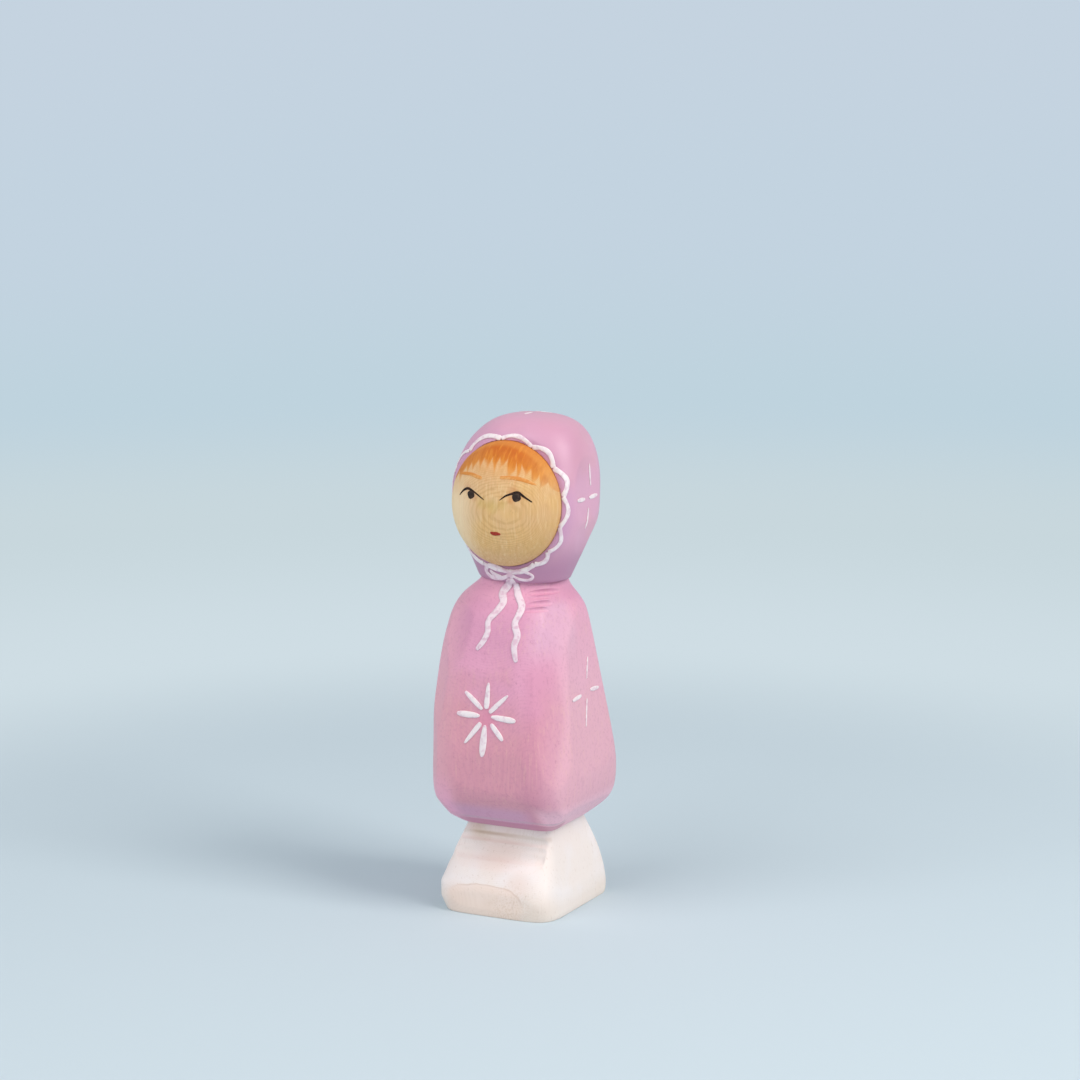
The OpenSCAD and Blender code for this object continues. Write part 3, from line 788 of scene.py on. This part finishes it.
def rose_stain():
    """Maple under a thin rose water stain and satin oil: the grain and pale wood show through."""
    material, tree = new_material("rose_stained_maple")
    wood = maple(tree, ROSE_SPOTS)
    drift = add(tree, "Math", {0: wood["cloud"], 1: CLOUD_MEAN}, operation="SUBTRACT")
    wood["height"] = add(tree, "Math", {0: drift, 1: LILAC_WANDER, 2: wood["z"]},
                         operation="MULTIPLY_ADD")
    wood["mottle"] = add(tree, "TexNoise", {"Vector": wood["place"], "Scale": MOTTLES_A_MM,
                                            "Detail": 2.0})
    colour = lay_on(tree, wood, "#de9bac", ROSE_LAYERS)
    finish_material(tree, colour, grain(tree, wood), WOOD_RELIEF, Roughness=0.5)
    return material


def from_face(tree, wood):
    """How far a place is from the axis of the face: one on the face's edge."""
    squares = 0.0
    for axis, middle, half in (("x", FACE.x, FACE_HALF.x), ("z", FACE.z, FACE_HALF.z)):
        share = share_of_half(tree, wood[axis], middle, half)
        squares = add(tree, "Math", {0: share, 1: share, 2: squares}, operation="MULTIPLY_ADD")
    return add(tree, "Math", {0: squares}, operation="SQRT")


# The figure's left temple, where painted shade dims the lamp's highlight: middle and radius in mm
LILAC_SPOTS = {"shaded_temple": ((9.3, -4.0, 84.5), 9.0)}
LILAC_RELIEF = 0.008
# Layers of stain and of painted shade on the hood, each like one on the dress
LILAC_LAYERS = [
    ([("cloud", 0.38, 0.62)], 1.0, "#dfa9bb"),
    # Painted shade round the face where the rim slopes in, on the left temple where it dims the
    # highlight, and on the hood's lower part above the neck; and the crown
    ([("from_face", 1.22, 1.08), ("y", -3, -5)], 0.6, "#cb98bf"),
    ([("shaded_temple",)], 0.65, "#c992ae"),
    ([("z", NECK + 9, NECK + 2)], 0.9, "#bb86a6"),
    ([("z", CROWN - 8, CROWN)], 0.6, "#cf98b2"),
    # What shows of the grain
    ([("fibres", 0.42, 0.3)], 0.12, "#cb8fb4"),
    ([("rings", 0.6, 0.95)], 0.04, "#c487ab"),
]


def lilac_stain():
    """The same stain with more blue in it, laid on thicker: hardly any grain shows."""
    material, tree = new_material("lilac_stained_maple")
    wood = maple(tree, LILAC_SPOTS)
    wood["from_face"] = from_face(tree, wood)
    colour = lay_on(tree, wood, "#dda8c2", LILAC_LAYERS)
    finish_material(tree, colour, grain(tree, wood), LILAC_RELIEF, Roughness=0.42)
    return material


# Where the whitewash is rubbed thin: middles and radii in mm
RUBBED = [((-1.0, -7.6, 12.0), 7.0), ((-6.5, -7.0, 14.8), 3.4), ((-8.5, -10.5, 3.0), 4.0),
          ((-9.5, -7.0, 6.5), 4.0), ((4.0, -10.0, 6.0), 4.0)]
# The scoop's upper corner, the speckled front, and the left front edge of the sole
WHITEWASH_SPOTS = {"corner": ((-5.4, -7.2, 14.6), 3.2), "speckled": ((3.0, -11, 1.5), 7.0),
                   "sole_edge": ((7.5, -10.0, 2.5), 5.5)}
SPECKLES_A_MM = 3.2
# The front of the toe, sanded through to the wood: middle and half its size in mm, how square it
# is, how much its edge wanders, and where the line of a year ring runs round it
TOE_MIDDLE, TOE_HALF = (-2.5, 1.5), (7.6, 4.2)
TOE_SQUARE = 3.0
TOE_WANDER = 0.4
TOE_WANDERS_A_MM = 0.5
TOE_LINE = 1.2
TOE_FRONT = (-8.5, -10.5)
# The gouge marks under the hem, darkened with painted shadow under its lip: how far below it in mm,
# and how uneven they are
MARKS_BELOW_HEM = 1.8
MARKS_UNEVEN = 0.5
# Layers of whitewash, and of painted shadow, on the foot block
WHITEWASH_LAYERS = [
    ([("cloud", 0.4, 0.65)], 1.0, "#f9f0ee"),
    ([("thin",)], 0.5, "#f0d6ca"),
    ([("corner",)], 0.45, "#d8bb9f"),
    ([("z", 5.0, 1.0)], 0.5, "#f0e0d2"),
    # The sanded toe, its speckles, the line round it, and the sole's edge
    ([("toe", 1.5, 0.9), ("y", *TOE_FRONT)], 0.6, "#f4dbcc"),
    ([("speckles", 0.45, 0.7), ("speckled",)], 0.5, "#dcc0a6"),
    ([("toe_line", 0.14, 0.0), ("y", *TOE_FRONT), ("z", 2.0, 4.0), ("x", -10.0, -6.0)],
     0.4, "#cfae97"),
    ([("sole_edge",)], 0.5, "#ecd9c9"),
    # Bare wood and painted shadow in the gouge marks under the hem, most of it on the right
    ([("shadow_under_hem", 0.9, 0.3), ("y", -5.5, -6.2), ("x", -8, -5.5, 0.3, 1), ("x", 3, -3, 0.25, 0.6)],
     1.0, "#bf9c82"),
    # The grain
    ([("rings", 0.5, 0.95)], 0.05, "#c9a78a"),
    ([("fibres", 0.42, 0.3)], 0.2, "#e2cdbf"),
    ([("pores",)], 0.2, "#b79a80"),
]


def toe_patch(tree, wood):
    """How far a place is from the sanded front of the toe, and from the year ring round it."""
    wander = add(tree, "TexNoise", {"Vector": wood["place"], "Scale": TOE_WANDERS_A_MM})
    reach = add(tree, "Math", {0: wander, 1: TOE_WANDER}, operation="MULTIPLY")
    for axis, middle, half in zip("xz", TOE_MIDDLE, TOE_HALF):
        share = share_of_half(tree, wood[axis], middle, half)
        share = add(tree, "Math", {0: share}, operation="ABSOLUTE")
        share = add(tree, "Math", {0: share, 1: TOE_SQUARE}, operation="POWER")
        reach = add(tree, "Math", {0: reach, 1: share}, operation="ADD")
    off_line = add(tree, "Math", {0: reach, 1: TOE_LINE}, operation="SUBTRACT")
    off_line = add(tree, "Math", {0: off_line}, operation="ABSOLUTE")
    return reach, off_line


def shadow_under_hem(tree, wood):
    """How far a place is from the gouge marks under the hem, with their painted shadow, unevenly."""
    away = add(tree, "Math", {0: wood["z"], 1: HEM - MARKS_BELOW_HEM}, operation="SUBTRACT")
    away = add(tree, "Math", {0: away}, operation="ABSOLUTE")
    return add(tree, "Math", {0: wood["cloud"], 1: MARKS_UNEVEN, 2: away}, operation="MULTIPLY_ADD")


def whitewash():
    """Maple under a rubbed coat of white: warm wood shows in the grain and where it is thin."""
    material, tree = new_material("whitewashed_maple")
    wood = maple(tree, WHITEWASH_SPOTS)
    wood["thin"] = 0.0
    for middle, radius in RUBBED:
        patch = spot(tree, wood["place"], middle, radius)
        wood["thin"] = add(tree, "Math", {0: patch, 1: wood["thin"]}, operation="MAXIMUM")
    wood["toe"], wood["toe_line"] = toe_patch(tree, wood)
    wood["speckles"] = add(tree, "TexNoise", {"Vector": wood["place"], "Scale": SPECKLES_A_MM,
                                              "Detail": 3.0})
    wood["shadow_under_hem"] = shadow_under_hem(tree, wood)
    colour = lay_on(tree, wood, "#f8ece6", WHITEWASH_LAYERS)
    finish_material(tree, colour, grain(tree, wood), WOOD_RELIEF, Roughness=0.55)
    return material


# The painted fringe, in mm: how far its strands hang from the face's edge at the middle, what
# share of that is closed, how far out on the face it ends as a share of the face's half, and how
# squarely it ends there
FRINGE_REACH = 6.8
FRINGE_CLOSED = 0.33
FRINGE_ENDS = 0.97
FRINGE_SQUARE = 4.0
# A strand: its width in mm, the shortest one's share of the reach, and in shares of the width its
# soft edge and how far it fills its half at the root; how fast it thins towards its tip, and the
# least length in mm over which it does
STRAND_WIDTH = 1.45
STRAND_SHORTEST = 0.68
STRAND_SOFT = 0.15
STRAND_ROOT = 0.6
STRAND_THINS = 1.5
STRAND_OPEN = 0.05
# Slow bends across and down the fringe, and how many strands' widths they reach
SWAYS_A_MM = (0.5, 0.0, 0.25)
SWAY = 1.5
# The marks of single hairs, across, in depth and along; real hairs are finer than show here
HAIRS_A_MM = (1.9, 0.4, 0.35)


def fringe(tree, wood):
    """Strands of glaze that hang straight down from the upper edge of the face to fine tips.

    Gives the glaze at a place, its depth below the edge in mm, and that as a share of the reach."""
    x = add(tree, "Math", {0: wood["x"], 1: FACE.x}, operation="SUBTRACT")
    down = add(tree, "Math", {0: FACE.z, 1: wood["z"]}, operation="SUBTRACT")
    across = add(tree, "Math", {0: x}, operation="ABSOLUTE")
    across = add(tree, "Math", {0: across, 1: FACE_HALF.x}, operation="DIVIDE")
    square = add(tree, "Math", {0: across, 1: across}, operation="MULTIPLY")
    edge = add(tree, "Math", {0: 1.0, 1: square}, operation="SUBTRACT")
    edge = add(tree, "Math", {0: edge, 1: 0.0}, operation="MAXIMUM")
    edge = add(tree, "Math", {0: edge}, operation="SQRT")
    depth = add(tree, "Math", {0: edge, 1: FACE_HALF.z, 2: down}, operation="MULTIPLY_ADD")

    aside = add(tree, "Math", {0: across, 1: FRINGE_ENDS}, operation="DIVIDE")
    aside = add(tree, "Math", {0: aside, 1: FRINGE_SQUARE}, operation="POWER")
    room = add(tree, "Math", {0: 1.0, 1: aside}, operation="SUBTRACT")
    room = add(tree, "Math", {0: room, 1: 0.0}, operation="MAXIMUM")
    room = add(tree, "Math", {0: room, 1: FRINGE_REACH}, operation="MULTIPLY")

    bent = add(tree, "Mapping", {"Vector": wood["place"], "Scale": SWAYS_A_MM})
    sway = add(tree, "TexNoise", {"Vector": bent, "Scale": 1.0, "Detail": 1.0})
    sway = add(tree, "Math", {0: sway, 1: SWAY}, operation="MULTIPLY")
    at = add(tree, "Math", {0: x, 1: STRAND_WIDTH}, operation="DIVIDE")
    at = add(tree, "Math", {0: at, 1: sway}, operation="ADD")
    number = add(tree, "Math", {0: at}, operation="FLOOR")
    chance = add(tree, "TexWhiteNoise", {"W": number}, noise_dimensions="1D")
    length = part_of(tree, {}, (room,), (chance, 0.0, 1.0, STRAND_SHORTEST, 1.0))
    closed = add(tree, "Math", {0: room, 1: FRINGE_CLOSED}, operation="MULTIPLY")

    open_part = add(tree, "Math", {0: length, 1: closed}, operation="SUBTRACT")
    open_part = add(tree, "Math", {0: open_part, 1: STRAND_OPEN}, operation="MAXIMUM")
    left = add(tree, "Math", {0: length, 1: depth}, operation="SUBTRACT")
    left = add(tree, "Math", {0: left, 1: open_part}, operation="DIVIDE")
    taper = add(tree, "Math", {0: left, 1: 0.0}, operation="MAXIMUM")
    taper = add(tree, "Math", {0: taper, 1: STRAND_THINS}, operation="POWER")
    taper = add(tree, "Math", {0: taper, 1: STRAND_ROOT}, operation="MULTIPLY")
    off_middle = add(tree, "Math", {0: at}, operation="FRACT")
    off_middle = add(tree, "Math", {0: off_middle, 1: 0.5}, operation="SUBTRACT")
    off_middle = add(tree, "Math", {0: off_middle}, operation="ABSOLUTE")
    inside = add(tree, "Math", {0: taper, 1: off_middle}, operation="SUBTRACT")
    glaze = part_of(tree, {}, (inside, -STRAND_SOFT, STRAND_SOFT), (left, 0.0, 0.9, 0.2, 1.0))
    share = add(tree, "Math", {0: depth, 1: FRINGE_REACH}, operation="DIVIDE")
    return glaze, depth, share


# The bare wood of the face
FACE_LAYERS = [
    ([("cloud", 0.4, 0.62)], 1.0, "#e5bb8b"),
    # The grain, dark and pale
    ([("rings", 0.4, 0.95)], 0.28, "#c3904f"),
    ([("fibres", 0.48, 0.33)], 0.3, "#c99a5c"),
    ([("fibres", 0.52, 0.68)], 0.4, "#f3d6a8"),
    ([("pores",)], 0.2, "#a87c4c"),
]
# Soft tints of watery paint on the face: places from its middle, radius, strength and colour
FACE_TINTS = [
    ((-5.6, 3.1), 1.5, 0.35, "#c0683a"), ((-3.9, 1.5), 1.1, 0.35, "#c0683a"),
    ((3.7, 3.1), 1.5, 0.35, "#c0683a"), ((3.4, 1.6), 1.1, 0.5, "#d07a30"),
    ((5.0, 2.4), 1.2, 0.3, "#c0683a"), ((-2.2, 0.7), 1.7, 0.45, "#cfb05c"),
    ((-0.2, 0.2), 2.0, 0.5, "#cfb05c"), ((1.7, 0.6), 1.5, 0.4, "#cfb05c"),
]
FACE_FRONT = -11.8
# Washes over the whole face
FACE_OIL = [
    # Paler on the right, browner on the left, and orange up to the fringe
    ([("x", -2, -8), ("z", FACE.z + 5, FACE.z, 0.3, 1)], 0.75, "#fbe4c0"),
    ([("x", 2, 8)], 0.25, "#d0a068"),
    ([("z", FACE.z + 3.5, FACE.z + 7.5)], 0.4, "#e8a05c"),
]
# The orange glaze, from its dark upper end down
GLAZE_LAYERS = [
    ([("share", 0.12, 0.75)], 1.0, "#e08818"),
    ([("x", 3, 9)], 0.6, "#dd9a48"),
    ([("x", -1, -5)], 0.35, "#e6a252"),
    # Single hairs, dark and pale, and the rubbed upper rim
    ([("hairs", 0.5, 0.3)], 0.5, "#b85a06"),
    ([("hairs", 0.5, 0.7)], 0.4, "#ea9c34"),
    ([("depth", 1.0, 0.3)], 0.4, "#e09a48"),
]


def bare_maple():
    """Turned and sanded bare maple: fine rings cut to ovals, upright fibres, orange glaze above."""
    material, tree = new_material("bare_maple")
    wood = maple(tree, {})
    colour = lay_on(tree, wood, "#e8bd83", FACE_LAYERS)
    for (x, z), radius, strength, tint in FACE_TINTS:
        patch = spot(tree, wood["place"], (FACE.x + x, FACE_FRONT, FACE.z + z), radius)
        colour = lay_on(tree, wood, colour, [([(patch,)], strength, tint)])
    colour = lay_on(tree, wood, colour, FACE_OIL)
    wood["glaze"], wood["depth"], wood["share"] = fringe(tree, wood)
    hairs = add(tree, "Mapping", {"Vector": wood["place"], "Scale": HAIRS_A_MM})
    wood["hairs"] = add(tree, "TexNoise", {"Vector": hairs, "Scale": 1.0, "Detail": 3.0})
    orange = lay_on(tree, wood, "#c35c00", GLAZE_LAYERS)
    colour = lay_on(tree, wood, colour, [([("glaze",), ("x", 7.0, 10.2, 0.9, 0.5)], 1.0, orange)])
    finish_material(tree, colour, grain(tree, wood), WOOD_RELIEF, Roughness=0.6,
                    Specular_IOR_Level=0.2)
    return material


# Brush marks in the paint, how many to a millimetre, and their relief in mm
BRUSH_MARKS_A_MM = 1.1
PAINT_RELIEF = 0.02


def brush_paint(name, full, thin, roughness, gloss=0.5):
    """Acrylic from a fine brush: full where it lies thick, with the ground tinting it where thin."""
    material, tree = new_material(name)
    place = place_in_mm(tree)
    cover = add(tree, "TexNoise", {"Vector": place, "Scale": BRUSH_MARKS_A_MM, "Detail": 3.0})
    colour = lay_on(tree, {}, full, [([(cover, 0.55, 0.33)], 1.0, thin)])
    finish_material(tree, colour, cover, PAINT_RELIEF, Roughness=roughness, Specular_IOR_Level=gloss)
    return material


# The stage

# The photograph's camera: turn, lift and field in degrees, distance in mm, and where in its
# frame of 1080 pixels the figure's axis meets the ground
CAMERA_TURN = 26.5
CAMERA_LIFT = 10.5
CAMERA_FIELD = 18.0
CAMERA_AWAY = 622.3
AXIS_PX = (525, 902)
FRAME_PX = 1080
SENSOR = 36


def place_camera():
    """The camera of the photograph."""
    data = bpy.data.cameras.new("camera")
    camera = bpy.data.objects.new("camera", data)
    bpy.context.scene.collection.objects.link(camera)
    data.sensor_width = SENSOR
    data.lens = data.sensor_width / 2 / tan(radians(CAMERA_FIELD / 2))
    back = towards(CAMERA_TURN, CAMERA_LIFT)
    right = towards(CAMERA_TURN + 90)
    up = back.cross(right)
    per_px = 2 * CAMERA_AWAY * tan(radians(CAMERA_FIELD / 2)) / FRAME_PX
    aside = (AXIS_PX[0] - FRAME_PX / 2) * per_px
    below = (AXIS_PX[1] - FRAME_PX / 2) * per_px
    camera.location = (back * CAMERA_AWAY - right * aside + up * below) * MM
    camera.rotation_euler = (radians(90 - CAMERA_LIFT), 0, radians(CAMERA_TURN))
    bpy.context.scene.camera = camera


# The soft boxes: turn from the camera and lift in degrees, distance and size in metres, power
# in watts and colour. They aim at the middle of the figure, in mm above the ground.
LAMPS = {
    "left_box": (54, 42, 0.75, (0.32, 0.4), 3.25, "#fff9f2"),
    "right_box": (-49, 42, 0.8, (0.6, 0.6), 2.3, "#fff9f5"),
}
LAMP_AIM = 40
ROOM_COLOUR, ROOM_LIGHT = "#e9eef2", 0.63


def lamp(name, turn, lift, away, size, power, colour):
    """A soft box that looks at the figure from a side."""
    data = bpy.data.lights.new(name, "AREA")
    data.shape = "RECTANGLE"
    data.size, data.size_y = size
    data.energy = power
    data.color = linear(colour)[:3]
    light = bpy.data.objects.new(name, data)
    bpy.context.scene.collection.objects.link(light)
    aim = Vector((0, 0, LAMP_AIM * MM))
    light.location = aim + towards(CAMERA_TURN + turn, lift) * away
    light.rotation_euler = (light.location - aim).to_track_quat("Z", "Y").to_euler()


def light_studio():
    """Two large soft boxes, the stronger one on the figure's left, and a pale room."""
    world = bpy.data.worlds.new("pale_room")
    bpy.context.scene.world = world
    world.use_nodes = True
    background = world.node_tree.nodes["Background"]
    background.inputs["Color"].default_value = linear(ROOM_COLOUR)
    background.inputs["Strength"].default_value = ROOM_LIGHT
    for name, settings in LAMPS.items():
        lamp(name, *settings)


# The paper as the camera sees it away from the figure: distance from the figure in metres, and
# colour. Nearer than the first of them it shows its own shading.
NEAR = 0.12
PAPER_SEEN = [(0.22, "#cfdde4"), (0.40, "#c8d7dd"), (0.65, "#bfd3de"), (0.90, "#c3d3e0"),
              (1.10, "#c5d3e0")]


def pale_blue_paper():
    """Matt paper with a plain near field, whose far part the camera sees evenly lit."""
    material, tree = new_material("pale_blue_paper")
    place = add(tree, "TexCoord", out="Object")
    away = add(tree, "VectorMath", {0: place}, out="Value", operation="LENGTH")
    seen = PAPER_SEEN[0][1]
    for (start, _), (end, colour) in zip(PAPER_SEEN, PAPER_SEEN[1:]):
        seen = lay_on(tree, {}, seen, [([(away, start, end)], 1.0, colour)])
    paper = add(tree, "BsdfPrincipled", {"Base Color": "#c8d7e0", "Roughness": 0.9})
    glow = add(tree, "Emission", {"Color": seen})
    shows = add(tree, "LightPath", out="Is Camera Ray")
    for ray in ("Is Glossy Ray", "Is Transmission Ray"):
        other = add(tree, "LightPath", out=ray)
        shows = add(tree, "Math", {0: shows, 1: other}, operation="MAXIMUM")
    share = part_of(tree, {}, (away, NEAR, PAPER_SEEN[0][0]), (shows,))
    shown = add(tree, "MixShader", {0: share, 1: paper, 2: glow})
    add(tree, "OutputMaterial", {"Surface": shown})
    return material


# The sheet of paper, in metres: its first size, how far each side but the back is drawn out, how
# high it rises behind, and the radius and steps of its sweep
SHEET = 3
SHEET_DRAWN_OUT = 8
SHEET_RISE = 2
SWEEP, SWEEP_STEPS = 0.9, 24


def lay_floor():
    """A sheet of pale blue paper that sweeps up behind the figure."""
    deselect()
    bpy.ops.mesh.primitive_plane_add(size=SHEET, location=(0, 0, 0))
    floor = bpy.context.object
    floor.name = "paper_sweep"
    edit(floor)
    for outwards in (-ALONG_X, ALONG_X, -ALONG_Y):
        select_points(floor, lambda co: co.dot(outwards) > 1)
        bpy.ops.transform.translate(value=outwards * SHEET_DRAWN_OUT)
    select_points(floor, lambda co: co.y > 1)
    bpy.ops.mesh.extrude_edges_move(TRANSFORM_OT_translate={"value": (0, 0, SHEET_RISE)})
    select_points(floor, lambda co: co.y > 1 and co.z < 1)
    bpy.ops.mesh.bevel(offset=SWEEP, segments=SWEEP_STEPS, affect="EDGES")
    bpy.ops.mesh.select_all(action="SELECT")
    bpy.ops.transform.rotate(value=-radians(CAMERA_TURN), orient_axis="Z",
                             center_override=(0, 0, 0))
    leave_edit()
    bpy.ops.object.shade_smooth()
    floor.data.materials.append(pale_blue_paper())


# Making the figure

def hand_over(piece, material, slot, *nodes):
    """Gives a piece its material and its place in the frame."""
    piece.data.materials.clear()
    piece.data.materials.append(material)
    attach(piece, "root")
    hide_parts(*nodes)


def whole_figure(blocks):
    """One mesh of all the wood, for the brush to come down on."""
    deselect()
    for block in blocks:
        block.select_set(True)
    bpy.context.view_layer.objects.active = blocks[0]
    bpy.ops.object.duplicate()
    bpy.context.view_layer.objects.active = bpy.context.selected_objects[0]
    bpy.ops.object.join()
    ground = bpy.context.object
    ground.name = "ground_for_brush"
    bpy.context.view_layer.update()
    return ground


def main():
    foot, dress, hood, face = carve_foot_block(), carve_dress(), carve_hood(), carve_face()
    wood = whole_figure([foot, dress, hood, face])
    bare = bare_maple()
    hand_over(foot, whitewash(), "whitewashed_wood", "foot_block")
    hand_over(dress, rose_stain(), "rose_stained_wood", "dress")
    hand_over(hood, lilac_stain(), "lilac_stained_wood", "hood")
    hand_over(face, bare, "bare_wood", "face")
    hand_over(glaze_fringe(face), bare, "orange_glaze", "hair_fringe")

    white = brush_paint("white_acrylic", "#f4e8eb", "#e8cfda", 0.55)
    milky = brush_paint("thinned_white_acrylic", "#eddae3", "#e0bdce", 0.55)
    black = brush_paint("black_ink", "#1f120a", "#3c2418", 0.6, 0.25)
    brown = brush_paint("orange_wash", "#db8b3a", "#e5a660", 0.55)
    soot = brush_paint("worn_black_ink", "#2e211c", "#4a382e", 0.6, 0.25)
    red = brush_paint("red_paint", "#a02a1e", "#b54634", 0.5, 0.3)
    hand_over(paint_lace(wood), white, "white_paint", "lace_trim")
    hand_over(paint_bow(wood), milky, "white_paint", "chin_bow")
    for side, tail in (("left", LEFT_TAIL), ("right", RIGHT_TAIL)):
        hand_over(paint_tail(f"painted_{side}_tail", tail, wood), milky, "white_paint",
                  f"{side}_ribbon_tail")
    hand_over(paint_flower(wood), white, "white_paint", "front_flower")
    for side in ("left", "right"):
        for node, strokes in ((f"{side}_dress_star", DRESS_STAR), (f"{side}_hood_star", HOOD_STAR)):
            star = side_star("painted_" + node, node, strokes, wood, side)
            hand_over(star, white, "white_paint", node)
        for node, stroke, ink, slot in ((f"{side}_eyebrow", BROWS[side], brown, "brown_paint"),
                                        (f"{side}_eyelid", LIDS[side], black, "black_paint"),
                                        (f"{side}_pupil", PUPILS[side], soot, "black_paint")):
            hand_over(paint_on_face("painted_" + node, stroke, wood), ink, slot, node)
    hand_over(paint_on_face("painted_lips", LIPS, wood), red, "red_paint", "lips")
    crown = middle_of("crown_star")
    hand_over(paint_star("painted_crown_star", CROWN_STAR, wood, "above", (crown.x, crown.y),
                         THIN_PAINT), white, "white_paint", "crown_star")
    bpy.data.objects.remove(wood)

    lay_floor()
    light_studio()
    place_camera()
    bpy.context.scene.view_settings.view_transform = "Standard"


main()
